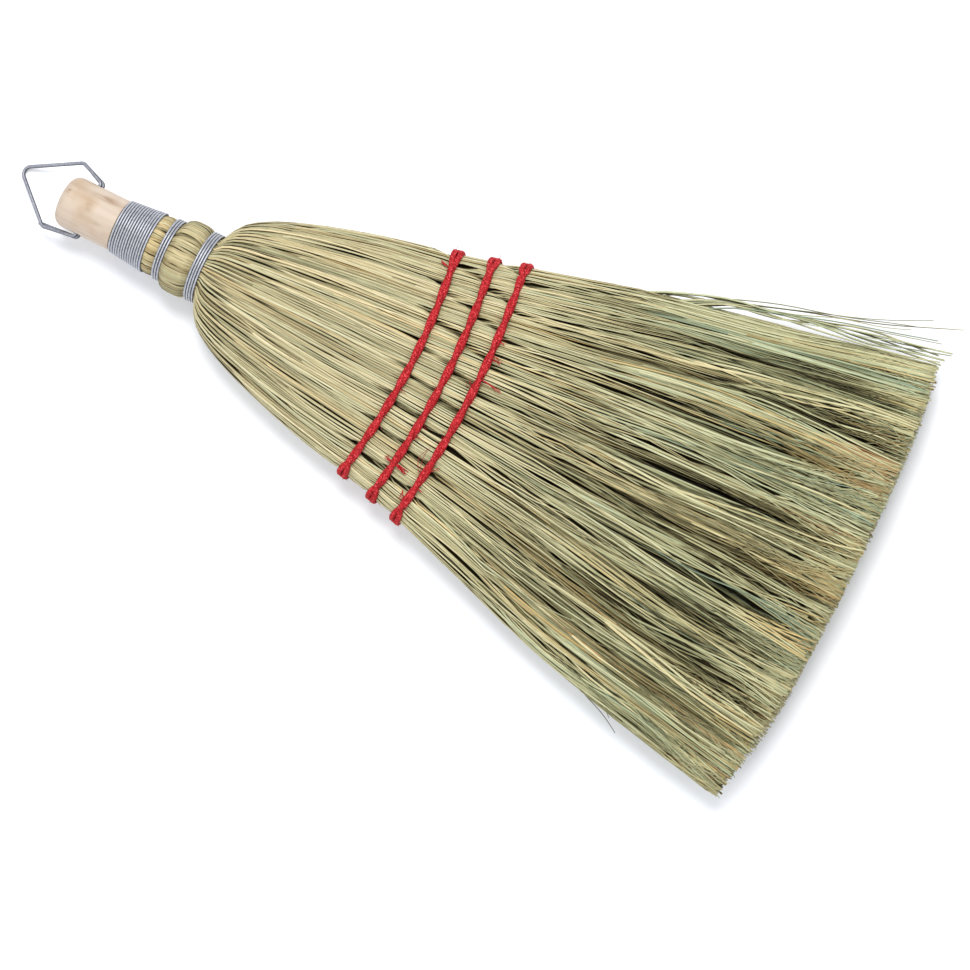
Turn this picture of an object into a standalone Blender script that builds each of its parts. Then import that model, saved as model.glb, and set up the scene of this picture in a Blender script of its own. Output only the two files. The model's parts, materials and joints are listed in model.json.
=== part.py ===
"""Corn whisk broom: a wooden grip with a swinging wire loop, wire windings, corn and stitched twine.

Lengths are in metres, +Z is up. The broom lies flat on its belly: X runs along the broom from the
grip to the sweep, Y across it. Shapes are drawn with x counted from the grip's end face and z from
the broom's axis; the empty "broom_axis" then carries every piece to its place on the ground.
"""

import math

import bmesh
import bpy
import numpy as np
from mathutils import Matrix

# Wooden handle: a bare grip, then a tapered stub that the corn is wound on
HANDLE_DIAMETER = 0.0254
HANDLE_BARE_LENGTH = 0.0304
HANDLE_END_ROUND = 0.0050
STUB_START_DIAMETER = 0.0186
STUB_TIP_DIAMETER = 0.0090
STUB_REACH_PAST_BAND = 0.0060
STUB_TIP_ROUND = 0.0015
HANDLE_SIDES = 32
ROUND_STEPS = 4

# Cross hole and hanging loop, one wire that passes twice through the hole
HOLE_SETBACK = 0.0137
HOLE_DIAMETER = 0.0048
HOLE_SIDES = 24
LOOP_WIRE_DIAMETER = 0.0018
LOOP_PASS_SPACING = 0.0024
LOOP_SIDE_CLEARANCE = 0.0005
LOOP_REACH = 0.0478
LOOP_APEX_OFFSET = 0.0042
LOOP_LONG_LEG = 0.0204
LOOP_LONG_LEG_SPREAD = 0.0024
LOOP_LONG_TAIL = 0.0245
LOOP_LONG_TAIL_SPREAD = 0.0015
LOOP_SHORT_LEG = 0.0168
LOOP_SHORT_LEG_SPREAD = 0.0053
LOOP_SHORT_TAIL = 0.0082
LOOP_SHORT_TAIL_SPREAD = 0.0010
LOOP_CORNER_RADIUS = 0.0032
LOOP_HOLE_BEND_RADIUS = 0.0018
LOOP_BEND_STEPS = 4
LOOP_GROUND_CLEARANCE = 0.0010

# Wire windings
WIRE_PITCH = 0.00126
WIRE_GAP = 0.00043
WIRE_DIAMETER = WIRE_PITCH - WIRE_GAP
WINDING_TURNS = 14
NECK_BAND_TURNS = 3
SHOULDER_BAND_TURNS = 4
SEAT_CLEARANCE = 0.0003

# Corn: neck, bulge and flat head
BUTT_DIAMETER = 0.0242
WINDING_END_DIAMETER = 0.0283
STRIP_LENGTH = 0.0057
STRIP_DIAMETER = 0.0297
NECK_BAND_SEAT_DIAMETER = 0.0288
BULGE_LENGTH = 0.0138
BULGE_DIAMETER = 0.0382
BULGE_CREST_LENGTH = 0.0040
SHOULDER_BAND_SEAT_DIAMETER = 0.0327
INNER_CORN_SETBACK = 0.0096
HEAD_LENGTH = 0.3380
SWEEP_WIDTH = 0.2360
SWEEP_THICKNESS = 0.0386
SWEEP_BOW = 0.0102
FLAT_DEPTH = 0.0005
RING_SIDES = 24
NECK_ROUNDNESS = 2.0
HEAD_ROUNDNESS = 2.6
ROUNDNESS_CHANGE_SHARE = 0.2
COVER_INNER_SHARE = 0.8

# Head outline: shares of HEAD_LENGTH, of half the sweep width and of half the sweep thickness
HEAD_SHARES = (
    (0.012, 0.208, 0.890),
    (0.025, 0.244, 0.920),
    (0.040, 0.272, 0.920),
    (0.069, 0.312, 0.890),
    (0.126, 0.381, 0.830),
    (0.211, 0.452, 0.760),
    (0.324, 0.524, 0.710),
    (0.437, 0.616, 0.720),
    (1.000, 1.000, 1.000),
)

# Bulge outline: shares of the way from a band to the crest, along and outwards
BULGE_RISE_SHARES = ((0.16, 0.46), (0.48, 0.84))

# Stitched twine: each row is one twine, round the head and then through it
FIRST_ROW_DISTANCE = 0.1014
ROW_SPACINGS = (0.0173, 0.0147)
ROW_BOW = 0.0068
ROW_SLANT = 0.0014
TWINE_DIAMETER = 0.0017
TWINE_GAP = 0.0005
STITCH_SHARES = (0.90, 0.60, 0.36, 0.12, -0.12, -0.36, -0.60, -0.90)
STITCH_CROSSING_STEPS = 5
STITCH_HOLE_SIDES = 6

# Ribs: the locks that the covers' stalks part into, from near the shoulder band to the sweep
RIB_SPACING = 0.0120
RIB_DEPTH = 0.0010
SWEEP_RIB_DEPTH = 0.0020
RIB_START_SHARE = 0.040
RIB_FULL_SHARE = 0.126

# Free strands past the last row
ROOT_MARGIN = 0.0035
STRAND_WIDTH = 0.0042
COVER_LAYERS = 2
INNER_RING_SHARE = 0.5
STRAND_TIP_SHARE = 0.82
STRAND_LENGTH_SPREAD = 0.0030
STRAND_SEED = 7

WIRE_SIDES_RESOLUTION = 1
LOOP_SIDES_RESOLUTION = 2
CUTTER_OVERRUN = 0.0020
WELD_DISTANCE = 0.000003
SMOOTH_ANGLE_DEGREES = 35

# Gap measure: samples on a tube per diameter, and how many samples apart counts as another stretch
SAMPLES_PER_DIAMETER = 4
SAMPLES_APART = 13

# Places along the broom
CORN_START = HANDLE_BARE_LENGTH + SEAT_CLEARANCE
WINDING_END = CORN_START + WINDING_TURNS * WIRE_PITCH + WIRE_DIAMETER
NECK_BAND_START = WINDING_END + STRIP_LENGTH
NECK_BAND_END = NECK_BAND_START + NECK_BAND_TURNS * WIRE_PITCH + WIRE_DIAMETER
SHOULDER_BAND_START = NECK_BAND_END + BULGE_LENGTH
SHOULDER_BAND_END = SHOULDER_BAND_START + SHOULDER_BAND_TURNS * WIRE_PITCH + WIRE_DIAMETER
STUB_TIP = SHOULDER_BAND_END + STUB_REACH_PAST_BAND
RIB_START = SHOULDER_BAND_END + RIB_START_SHARE * HEAD_LENGTH
RIB_FULL = SHOULDER_BAND_END + RIB_FULL_SHARE * HEAD_LENGTH
SWEEP_MIDDLE = SHOULDER_BAND_END + HEAD_LENGTH
ROW_PLACES = tuple(
    SHOULDER_BAND_END + FIRST_ROW_DISTANCE + sum(ROW_SPACINGS[:row]) for row in range(len(ROW_SPACINGS) + 1)
)
STITCH_OFFSET = (TWINE_DIAMETER + TWINE_GAP) / math.cos(math.pi / 2 / STITCH_CROSSING_STEPS)
STRAND_ROOT = ROW_PLACES[-1] + ROW_BOW + STITCH_OFFSET + ROOT_MARGIN
AXIS_HEIGHT = max(BULGE_DIAMETER, SWEEP_THICKNESS) / 2 - FLAT_DEPTH

# Ring corners, counted from the +Y side, where the cover bundles part
TOP_CORNERS = (2, 9)
LEFT_CORNERS = (9, 14)
BOTTOM_CORNERS = (14, 21)
RIGHT_CORNERS = (21, 26)


def clear_scene():
    """Remove every object that the file starts with."""
    for obj in list(bpy.data.objects):
        bpy.data.objects.remove(obj, do_unlink=True)


def make_material(name, color, roughness, metallic=0.0):
    """One Principled material."""
    material = bpy.data.materials.new(name)
    material.use_nodes = True
    shader = material.node_tree.nodes["Principled BSDF"]
    shader.inputs["Base Color"].default_value = (*color, 1.0)
    shader.inputs["Roughness"].default_value = roughness
    shader.inputs["Metallic"].default_value = metallic
    return material


def add_object(name, data, material, parent):
    """Link a mesh or curve as one named piece, carried by its parent."""
    obj = bpy.data.objects.new(name, data)
    bpy.context.collection.objects.link(obj)
    obj.data.materials.append(material)
    obj.parent = parent
    return obj


def mesh_from_bmesh(name, bm):
    """Write a closed bmesh to a mesh with outward faces."""
    bmesh.ops.recalc_face_normals(bm, faces=bm.faces)
    mesh = bpy.data.meshes.new(name)
    bm.to_mesh(mesh)
    bm.free()
    return mesh


def add_cutter(name, bm, parent):
    """A hidden body that Booleans subtract."""
    cutter = bpy.data.objects.new(name, mesh_from_bmesh(name, bm))
    bpy.context.collection.objects.link(cutter)
    cutter.hide_render = True
    cutter.display_type = "WIRE"
    cutter.parent = parent
    return cutter


def subtract(obj, cutter):
    """Cut one piece with a cutter."""
    modifier = obj.modifiers.new("cut_" + cutter.name, "BOOLEAN")
    modifier.operation = "DIFFERENCE"
    modifier.solver = "EXACT"
    modifier.object = cutter


def spin_profile(profile, sides):
    """Turn a profile of (x, radius) points, which starts and ends on the axis, about the X axis."""
    bm = bmesh.new()
    verts = [bm.verts.new((x, radius, 0.0)) for x, radius in profile]
    edges = [bm.edges.new(pair) for pair in zip(verts, verts[1:])]
    bmesh.ops.spin(
        bm, geom=verts + edges, cent=(0, 0, 0), axis=(1, 0, 0), angle=math.tau, steps=sides, use_merge=True
    )
    bmesh.ops.remove_doubles(bm, verts=bm.verts, dist=WELD_DISTANCE)
    return bm


def quarter_round(center_x, center_radius, size, start):
    """Points of a quarter circle in (x, radius), from angle start to start plus a right angle."""
    angles = [start + math.pi / 2 * step / ROUND_STEPS for step in range(ROUND_STEPS + 1)]
    return [(center_x - size * math.cos(a), center_radius + size * math.sin(a)) for a in angles]


def least_gap(points, diameter):
    """The least clear gap between a tube's stretches, measured on points along its middle line."""
    points = np.asarray(points)
    along = np.concatenate([[0.0], np.cumsum(np.linalg.norm(np.diff(points, axis=0), axis=1))])
    places = np.arange(0.0, along[-1], diameter / SAMPLES_PER_DIAMETER)
    samples = np.stack([np.interp(places, along, points[:, k]) for k in range(3)], axis=1)
    least = math.inf
    for index in range(len(samples)):
        later = samples[index + SAMPLES_APART :]
        if len(later):
            least = min(least, float(np.linalg.norm(later - samples[index], axis=1).min()))
    return least - diameter


def add_tube(name, points, diameter, resolution, material, parent):
    """One unbroken tube along points, as a bevelled curve with filled caps."""
    curve = bpy.data.curves.new(name, "CURVE")
    curve.dimensions = "3D"
    curve.bevel_depth = diameter / 2
    curve.bevel_resolution = resolution
    curve.use_fill_caps = True
    spline = curve.splines.new("POLY")
    spline.points.add(len(points) - 1)
    for target, point in zip(spline.points, points):
        target.co = (*point, 1.0)
    print(f"{name}: least gap to itself {least_gap(points, diameter) * 1000:.2f} mm")
    return add_object(name, curve, material, parent)


# Corn sections


def superellipse(half_width, half_thickness, roundness):
    """Section corners on |y/w|^n + |z/h|^n = 1, the first half a side up from +Y."""
    angles = (np.arange(RING_SIDES) + 0.5) * math.tau / RING_SIDES
    across, up = np.cos(angles), np.sin(angles)
    power = 2.0 / roundness
    return np.stack(
        [
            half_width * np.sign(across) * np.abs(across) ** power,
            half_thickness * np.sign(up) * np.abs(up) ** power,
        ],
        axis=1,
    )


def rested(section):
    """A section pressed flat where it would reach below the ground."""
    section = section.copy()
    section[:, 1] = np.maximum(section[:, 1], -AXIS_HEIGHT)
    return section


def outline_stations():
    """(x, half width, half thickness, roundness) along the corn, from the butts to the sweep."""
    crest = (NECK_BAND_END + SHOULDER_BAND_START) / 2
    half_crest = BULGE_CREST_LENGTH / 2
    neck = [
        (CORN_START, BUTT_DIAMETER / 2),
        (WINDING_END, WINDING_END_DIAMETER / 2),
        ((WINDING_END + NECK_BAND_START) / 2, STRIP_DIAMETER / 2),
        (NECK_BAND_START, NECK_BAND_SEAT_DIAMETER / 2),
        (NECK_BAND_END, NECK_BAND_SEAT_DIAMETER / 2),
    ]
    for along, out in BULGE_RISE_SHARES:
        rise = (BULGE_DIAMETER - NECK_BAND_SEAT_DIAMETER) / 2
        neck.append((NECK_BAND_END + along * (crest - half_crest - NECK_BAND_END), neck[4][1] + out * rise))
    neck += [(crest - half_crest, BULGE_DIAMETER / 2), (crest + half_crest, BULGE_DIAMETER / 2)]
    for along, out in reversed(BULGE_RISE_SHARES):
        fall = (BULGE_DIAMETER - SHOULDER_BAND_SEAT_DIAMETER) / 2
        place = SHOULDER_BAND_START - along * (SHOULDER_BAND_START - crest - half_crest)
        neck.append((place, SHOULDER_BAND_SEAT_DIAMETER / 2 + out * fall))
    neck += [
        (SHOULDER_BAND_START, SHOULDER_BAND_SEAT_DIAMETER / 2),
        (SHOULDER_BAND_END, SHOULDER_BAND_SEAT_DIAMETER / 2),
    ]
    stations = [(x, radius, radius, NECK_ROUNDNESS) for x, radius in neck]
    for along, wide, thick in HEAD_SHARES:
        change = min(1.0, along / ROUNDNESS_CHANGE_SHARE)
        roundness = NECK_ROUNDNESS + change * (HEAD_ROUNDNESS - NECK_ROUNDNESS)
        place = SHOULDER_BAND_END + along * HEAD_LENGTH
        stations.append((place, wide * SWEEP_WIDTH / 2, thick * SWEEP_THICKNESS / 2, roundness))
    return stations


STATIONS = outline_stations()
STATION_PLACES = [station[0] for station in STATIONS]
STATION_RINGS = np.stack([rested(superellipse(*station[1:])) for station in STATIONS])
SWEEP_RING = superellipse(SWEEP_WIDTH / 2, SWEEP_THICKNESS / 2, HEAD_ROUNDNESS)


def ring_at(x):
    """The head's outer section at x, as (y, z) corners, straight between stations."""
    index = int(np.clip(np.searchsorted(STATION_PLACES, x) - 1, 0, len(STATIONS) - 2))
    start, end = STATION_PLACES[index], STATION_PLACES[index + 1]
    share = (x - start) / (end - start)
    return (1 - share) * STATION_RINGS[index] + share * STATION_RINGS[index + 1]


def rib_counts():
    """How many ribs each side of the section carries, by its width at the strands' roots."""
    ring = ring_at(STRAND_ROOT)
    return np.round(np.linalg.norm(np.roll(ring, -1, axis=0) - ring, axis=1) / RIB_SPACING)


def rib_depth(x):
    """How deep the grooves between the ribs are at x, up to the strands' roots."""
    return RIB_DEPTH * float(np.clip((x - RIB_START) / (RIB_FULL - RIB_START), 0, 1))


def stations_between(start, end):
    """Where the corn's solids have a section, from start to end."""
    return [start] + [x for x in STATION_PLACES if start < x < end] + [end]


def inset(ring, distance):
    """A closed ring with every side moved inwards by a distance, or outwards where it is negative."""
    sides = np.roll(ring, -1, axis=0) - ring
    normals = np.stack([-sides[:, 1], sides[:, 0]], axis=1)
    normals /= np.linalg.norm(normals, axis=1, keepdims=True)
    before = np.roll(normals, 1, axis=0)
    turn = 1 + (normals * before).sum(axis=1, keepdims=True)
    return ring + distance * (normals + before) / turn


def cover_section(ring, corners):
    """Inner and outer corners of one cover bundle, parted from its neighbours by the seat clearance."""
    first, last = corners
    outer = ring[np.arange(first, last + 1) % len(ring)]
    inner = outer * COVER_INNER_SHARE
    for column, turn in ((0, 1.0), (-1, -1.0)):
        along = outer[column] / np.linalg.norm(outer[column])
        shift = turn * SEAT_CLEARANCE / 2 * np.array([-along[1], along[0]])
        outer[column] += shift
        inner[column] += shift
    return inner, outer


def strand_columns(outer):
    """Where a cover's strands part, in corners along its outer side: about a strand's width apart."""
    widths = np.linalg.norm(np.diff(outer, axis=0), axis=1)
    counts = np.maximum(1, np.round(widths / STRAND_WIDTH)).astype(int)
    columns = [corner + step / count for corner, count in enumerate(counts) for step in range(count)]
    return np.array(columns + [len(counts)])


def at_columns(side, columns):
    """A cover's inner or outer side at the given columns, straight between corners."""
    known = np.arange(len(side))
    return np.stack([np.interp(columns, known, side[:, k]) for k in (0, 1)], axis=1)


def ribbed(ring, corners, columns, depth):
    """A cover's outer side at the given columns, with a groove of the given depth between its ribs.

    Each side of the section holds whole ribs: the groove is (1 - cos) / 2 of their count times the place
    between two corners, and draws y and z in by its depth over the section's half width and half thickness.
    """
    _, outer = cover_section(ring, corners)
    counts = rib_counts()[(corners[0] + columns.astype(int)) % RING_SIDES]
    groove = depth * (1 - np.cos(math.tau * counts * (columns % 1))) / 2
    return at_columns(outer, columns) * (1 - groove[:, None] / np.abs(ring).max(axis=0))


def cover_grid(inner, outer):
    """Rows of points from the inner to the outer side."""
    shares = np.linspace(0, 1, COVER_LAYERS + 1)
    return np.stack([(1 - share) * inner + share * outer for share in shares])


def add_verts(bm, x, section):
    """Section corners as vertices in the plane at x."""
    return [bm.verts.new((x, y, z)) for y, z in section]


def add_walls(bm, start, end):
    """Quads between two closed loops of vertices."""
    count = len(start)
    for side in range(count):
        after = (side + 1) % count
        bm.faces.new((start[side], start[after], end[after], end[side]))


def add_strip(bm, start, end):
    """Quads between two open rows of as many vertices."""
    for near, far in zip(zip(start, start[1:]), zip(end, end[1:])):
        bm.faces.new((near[0], near[1], far[1], far[0]))


def add_fans(bm, corners, fine, columns):
    """Triangles between a row of section corners and a finer row at the given columns."""
    for corner in range(len(corners) - 1):
        part = [vert for vert, column in zip(fine, columns) if corner <= column <= corner + 1]
        half = (len(part) - 1) // 2
        for pair in zip(part[:half], part[1 : half + 1]):
            bm.faces.new((corners[corner], *pair))
        bm.faces.new((corners[corner], part[half], corners[corner + 1]))
        for pair in zip(part[half:], part[half + 1 :]):
            bm.faces.new((corners[corner + 1], *pair))


def tip_place(across):
    """Where the bowed sweep ends, at a share of half the sweep width."""
    return SWEEP_MIDDLE - SWEEP_BOW * across**2


def add_strand(bm, roots, order, tip_points, random):
    """A strand from a cell of the root face to its smaller copy at the sweep.

    Neighbouring strands share their root edges and draw apart towards the tips. Each wall's diagonal
    starts at the root with the lower place in order, so that two neighbours never cross.
    """
    middle = tip_points.mean(axis=0)
    points = rested(middle + STRAND_TIP_SHARE * (tip_points - middle))
    x = tip_place(middle[0] / (SWEEP_WIDTH / 2)) - STRAND_LENGTH_SPREAD * random.random()
    tips = add_verts(bm, x, points)
    count = len(roots)
    for side in range(count):
        after = (side + 1) % count
        low, high = (side, after) if order[side] < order[after] else (after, side)
        bm.faces.new((roots[low], roots[high], tips[high]))
        bm.faces.new((roots[low], tips[high], tips[low]))
    bm.faces.new(tips)


def cover_mesh(name, corners):
    """One cover bundle: a slab of stalks up to the stitching, ribbed past the neck, then free strands."""
    random = np.random.default_rng(STRAND_SEED + corners[0])
    root_ring = ring_at(STRAND_ROOT)
    columns = strand_columns(cover_section(root_ring, corners)[1])
    bm = bmesh.new()
    inner_rows, outer_rows = [], []
    for x in stations_between(CORN_START, STRAND_ROOT)[:-1]:
        inner, outer = cover_section(ring_at(x), corners)
        if x >= RIB_START:
            outer = ribbed(ring_at(x), corners, columns, rib_depth(x))
        inner_rows.append(add_verts(bm, x, inner))
        outer_rows.append(add_verts(bm, x, outer))
    inner = at_columns(cover_section(root_ring, corners)[0], columns)
    grid = cover_grid(inner, ribbed(root_ring, corners, columns, RIB_DEPTH))
    roots = [add_verts(bm, STRAND_ROOT, row) for row in grid]

    add_strip(bm, inner_rows[0], outer_rows[0])
    for start, end in zip(inner_rows, inner_rows[1:]):
        add_strip(bm, start, end)
    for start, end in zip(outer_rows, [*outer_rows[1:], roots[-1]]):
        if len(start) == len(end):
            add_strip(bm, start, end)
        else:
            add_fans(bm, start, end, columns)
    add_fans(bm, inner_rows[-1], roots[0], columns)
    for end in (0, -1):
        pairs = [(inner_row[end], outer_row[end]) for inner_row, outer_row in zip(inner_rows, outer_rows)]
        for near, far in zip(pairs, pairs[1:]):
            bm.faces.new((*near, *far[::-1]))
        bm.faces.new((pairs[-1][0], *[row[end] for row in roots], pairs[-1][1]))

    inner = at_columns(cover_section(SWEEP_RING, corners)[0], columns)
    tips = cover_grid(inner, ribbed(SWEEP_RING, corners, columns, SWEEP_RIB_DEPTH))
    for layer in range(COVER_LAYERS):
        for column in range(len(columns) - 1):
            near, far = (layer, column), (layer + 1, column + 1)
            for third in ((layer, column + 1), (layer + 1, column)):
                keys = [near, far, third]
                add_strand(
                    bm,
                    [roots[i][j] for i, j in keys],
                    [i * len(columns) + j for i, j in keys],
                    np.array([tips[i, j] for i, j in keys]),
                    random,
                )
    return mesh_from_bmesh(name, bm)


def inner_ring_at(x):
    """The inner corn's section, one seat clearance inside the cover."""
    return inset(ring_at(x) * COVER_INNER_SHARE, SEAT_CLEARANCE)


def inner_mesh(name):
    """The inner corn: a solid core up to the stitching, then free strands."""
    random = np.random.default_rng(STRAND_SEED)
    places = stations_between(HANDLE_BARE_LENGTH + INNER_CORN_SETBACK, STRAND_ROOT)
    bm = bmesh.new()
    loops = [add_verts(bm, x, inner_ring_at(x)) for x in places]
    bm.faces.new(loops[0][::-1])
    for start, end in zip(loops, loops[1:]):
        add_walls(bm, start, end)
    outer = inner_ring_at(STRAND_ROOT)
    middle = add_verts(bm, STRAND_ROOT, outer * INNER_RING_SHARE)
    center = add_verts(bm, STRAND_ROOT, [outer.mean(axis=0)])[0]
    tip_outer = inset(SWEEP_RING * COVER_INNER_SHARE, SEAT_CLEARANCE)
    tip_middle = tip_outer * INNER_RING_SHARE
    tip_center = tip_outer.mean(axis=0)
    for side in range(RING_SIDES):
        after = (side + 1) % RING_SIDES
        roots = [middle[side], middle[after], loops[-1][after], loops[-1][side]]
        order = [side, after, after + RING_SIDES, side + RING_SIDES]
        tips = np.array([tip_middle[side], tip_middle[after], tip_outer[after], tip_outer[side]])
        add_strand(bm, roots, order, tips, random)
    for side in range(0, RING_SIDES, 2):
        corners = [side, side + 1, (side + 2) % RING_SIDES]
        roots = [center] + [middle[k] for k in corners]
        tips = np.array([tip_center] + [tip_middle[k] for k in corners])
        add_strand(bm, roots, [-1] + corners, tips, random)
    return mesh_from_bmesh(name, bm)


# Handle and loop


def stub_radius(x):
    """The tapered stub's radius at x."""
    share = (x - HANDLE_BARE_LENGTH) / (STUB_TIP - HANDLE_BARE_LENGTH)
    return (STUB_START_DIAMETER + share * (STUB_TIP_DIAMETER - STUB_START_DIAMETER)) / 2


def handle_bmesh():
    """The turned handle: rounded end, bare grip, step, tapered stub with a rounded tip."""
    radius = HANDLE_DIAMETER / 2
    tip_radius = STUB_TIP_DIAMETER / 2
    profile = [(0.0, 0.0)]
    profile += quarter_round(HANDLE_END_ROUND, radius - HANDLE_END_ROUND, HANDLE_END_ROUND, 0.0)
    profile += [(HANDLE_BARE_LENGTH, radius), (HANDLE_BARE_LENGTH, stub_radius(HANDLE_BARE_LENGTH))]
    tip_start = STUB_TIP - STUB_TIP_ROUND
    profile += quarter_round(tip_start, tip_radius - STUB_TIP_ROUND, STUB_TIP_ROUND, math.pi / 2)
    profile += [(STUB_TIP, 0.0)]
    return spin_profile(profile, HANDLE_SIDES)


def stub_cutter_bmesh():
    """The room that the stub takes inside the inner corn."""
    start = HANDLE_BARE_LENGTH
    end = STUB_TIP + SEAT_CLEARANCE
    wide = stub_radius(start) + SEAT_CLEARANCE
    narrow = STUB_TIP_DIAMETER / 2 + SEAT_CLEARANCE
    facet = math.cos(math.pi / HANDLE_SIDES)
    profile = [(start, 0.0), (start, wide / facet), (end, narrow / facet), (end, 0.0)]
    return spin_profile(profile, HANDLE_SIDES)


def cross_hole_bmesh():
    """A cylinder across the handle, on the loop's pivot."""
    bm = bmesh.new()
    bmesh.ops.create_cone(
        bm,
        cap_ends=True,
        segments=HOLE_SIDES,
        radius1=HOLE_DIAMETER / 2,
        radius2=HOLE_DIAMETER / 2,
        depth=HANDLE_DIAMETER + CUTTER_OVERRUN,
        matrix=Matrix.Translation((HOLE_SETBACK, 0, 0)) @ Matrix.Rotation(math.pi / 2, 4, "X"),
    )
    return bm


def rounded_path(corners, radii):
    """A path with an arc at each inner corner, in the plane."""
    points = [np.array(corners[0])]
    for before, corner, after, radius in zip(corners, corners[1:], corners[2:], radii):
        corner = np.array(corner)
        back = np.array(before) - corner
        back /= np.linalg.norm(back)
        ahead = np.array(after) - corner
        ahead /= np.linalg.norm(ahead)
        half = math.acos(float(np.clip(back @ ahead, -1, 1))) / 2
        middle = (back + ahead) / np.linalg.norm(back + ahead)
        center = corner + middle * radius / math.sin(half)
        start = corner + back * radius / math.tan(half) - center
        side = corner + middle * (radius / math.sin(half) - radius) - center
        sweep = math.pi - 2 * half
        toward = side - start * (side @ start) / (start @ start)
        toward *= np.linalg.norm(start) / np.linalg.norm(toward)
        for step in range(LOOP_BEND_STEPS + 1):
            angle = sweep * step / LOOP_BEND_STEPS
            points.append(center + start * math.cos(angle) + toward * math.sin(angle))
    points.append(np.array(corners[-1]))
    return points


def loop_points():
    """The loop's wire, with the pivot at the origin, straight out along -X before it droops.

    One pass through the hole lies under the other. The wire climbs evenly from the lower to the upper
    pass between the short leg's corner and the apex.
    """
    side = HANDLE_DIAMETER / 2 + LOOP_SIDE_CLEARANCE + LOOP_WIRE_DIAMETER / 2
    short_corner = (-LOOP_SHORT_LEG, side + LOOP_SHORT_LEG_SPREAD)
    corners = [
        (-LOOP_LONG_TAIL, -side - LOOP_LONG_TAIL_SPREAD),
        (0.0, -side),
        (0.0, side),
        short_corner,
        (-LOOP_REACH, LOOP_APEX_OFFSET),
        (-LOOP_LONG_LEG, -side - LOOP_LONG_LEG_SPREAD),
        (0.0, -side),
        (0.0, side),
        (-LOOP_SHORT_TAIL, side + LOOP_SHORT_TAIL_SPREAD),
    ]
    bend, corner = LOOP_HOLE_BEND_RADIUS, LOOP_CORNER_RADIUS
    path = np.array(rounded_path(corners, [bend, bend, corner, corner, corner, bend, bend]))
    along = np.concatenate([[0.0], np.cumsum(np.linalg.norm(np.diff(path, axis=0), axis=1))])
    short_corner_end = corners.index(short_corner) * (LOOP_BEND_STEPS + 1)
    climb = np.interp(along, along[[short_corner_end, short_corner_end + 1]], (-0.5, 0.5))
    return [(x, y, LOOP_PASS_SPACING * share) for (x, y), share in zip(path, climb)]


def droop_angle():
    """How far the loop swings down, until its wire is the ground clearance above the ground."""
    fall = AXIS_HEIGHT - LOOP_WIRE_DIAMETER / 2 - LOOP_GROUND_CLEARANCE
    far = [(x, z) for x, _, z in loop_points() if math.hypot(x, z) > fall]
    return min(math.asin(fall / math.hypot(x, z)) + math.atan2(z, -x) for x, z in far)


# Windings and stitching


def straight_end(before, end):
    """The wire's end, one diameter straight on from a winding's last point."""
    way = end - before
    return end + WIRE_DIAMETER * way / np.linalg.norm(way)


def winding_points(start, turns):
    """A helix on the corn, with points on the section's corners and a straight diameter at each end."""
    steps = turns * RING_SIDES
    radius = WIRE_DIAMETER / 2
    points = []
    for step in range(steps + 1):
        x = start + radius + WIRE_PITCH * step / RING_SIDES
        ring = inset(ring_at(x), -SEAT_CLEARANCE - radius)
        points.append(np.array([x, *ring[step % RING_SIDES]]))
    return [straight_end(points[1], points[0]), *points, straight_end(points[-2], points[-1])]


def row_x(row, across):
    """Where a row of stitching lies, at a share of the head's half width: bowed to the sweep and slanted."""
    return ROW_PLACES[row] + ROW_BOW * (1 - across**2) + ROW_SLANT * across


def band_points(row, shift):
    """A row's twine on every corner of the head, moved along by a shift."""
    half_width = float(ring_at(ROW_PLACES[row])[0, 0])
    points = []
    for corner, (y, _) in enumerate(ring_at(ROW_PLACES[row])):
        x = row_x(row, y / half_width) + shift
        points.append(np.array([x, *inset(ring_at(x), -SEAT_CLEARANCE - TWINE_DIAMETER / 2)[corner]]))
    return points


def band_above(row, shift, y):
    """The upper side of a row's shifted twine at y, and the head's outward normal there."""
    upper = np.array(band_points(row, shift)[: RING_SIDES // 2][::-1])
    slopes = np.gradient(upper[:, 2], upper[:, 1])
    x, z, slope = (float(np.interp(y, upper[:, 1], values)) for values in (upper[:, 0], upper[:, 2], slopes))
    return np.array([x, y, z]), np.array([0.0, -slope, 1.0]) / math.hypot(slope, 1.0)


def stitch_places(row):
    """Where each pass through the head comes out above it, on alternate sides of the band."""
    half_width = float(ring_at(ROW_PLACES[row])[0, 0])
    sides = [STITCH_OFFSET if index % 2 == 0 else -STITCH_OFFSET for index in range(len(STITCH_SHARES))]
    return [band_above(row, side, share * half_width)[0] for side, share in zip(sides, STITCH_SHARES)]


def row_points(row):
    """One twine: a band round the head, then stitches through it that wind over and under the band."""
    band = band_points(row, 0.0)
    side = band[-1] - band[0]
    points = [band[0] + TWINE_DIAMETER * side / np.linalg.norm(side)] + band
    places = stitch_places(row)
    back = band_points(row, STITCH_OFFSET)[::-1]
    points += [point for point in back[: RING_SIDES // 4] if point[1] > places[0][1] + STITCH_OFFSET]
    for index, place in enumerate(places):
        under = place * np.array([1, 1, -1])
        rising = index % 2 == 0
        points += [under, place] if rising else [place, under]
        if index == len(places) - 1:
            break
        for step in range(1, STITCH_CROSSING_STEPS):
            share = step / STITCH_CROSSING_STEPS
            y = place[1] + share * (places[index + 1][1] - place[1])
            point, normal = band_above(row, 0.0, y)
            angle = math.pi * share
            point += STITCH_OFFSET * math.sin(angle) * normal
            if rising:
                point[0] += STITCH_OFFSET * math.cos(angle)
            else:
                point[0] -= STITCH_OFFSET * math.cos(angle)
                point[2] = -point[2]
            points.append(point)
    points[-1] = points[-1] - np.array([0, 0, TWINE_DIAMETER / 2])
    return points


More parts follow.
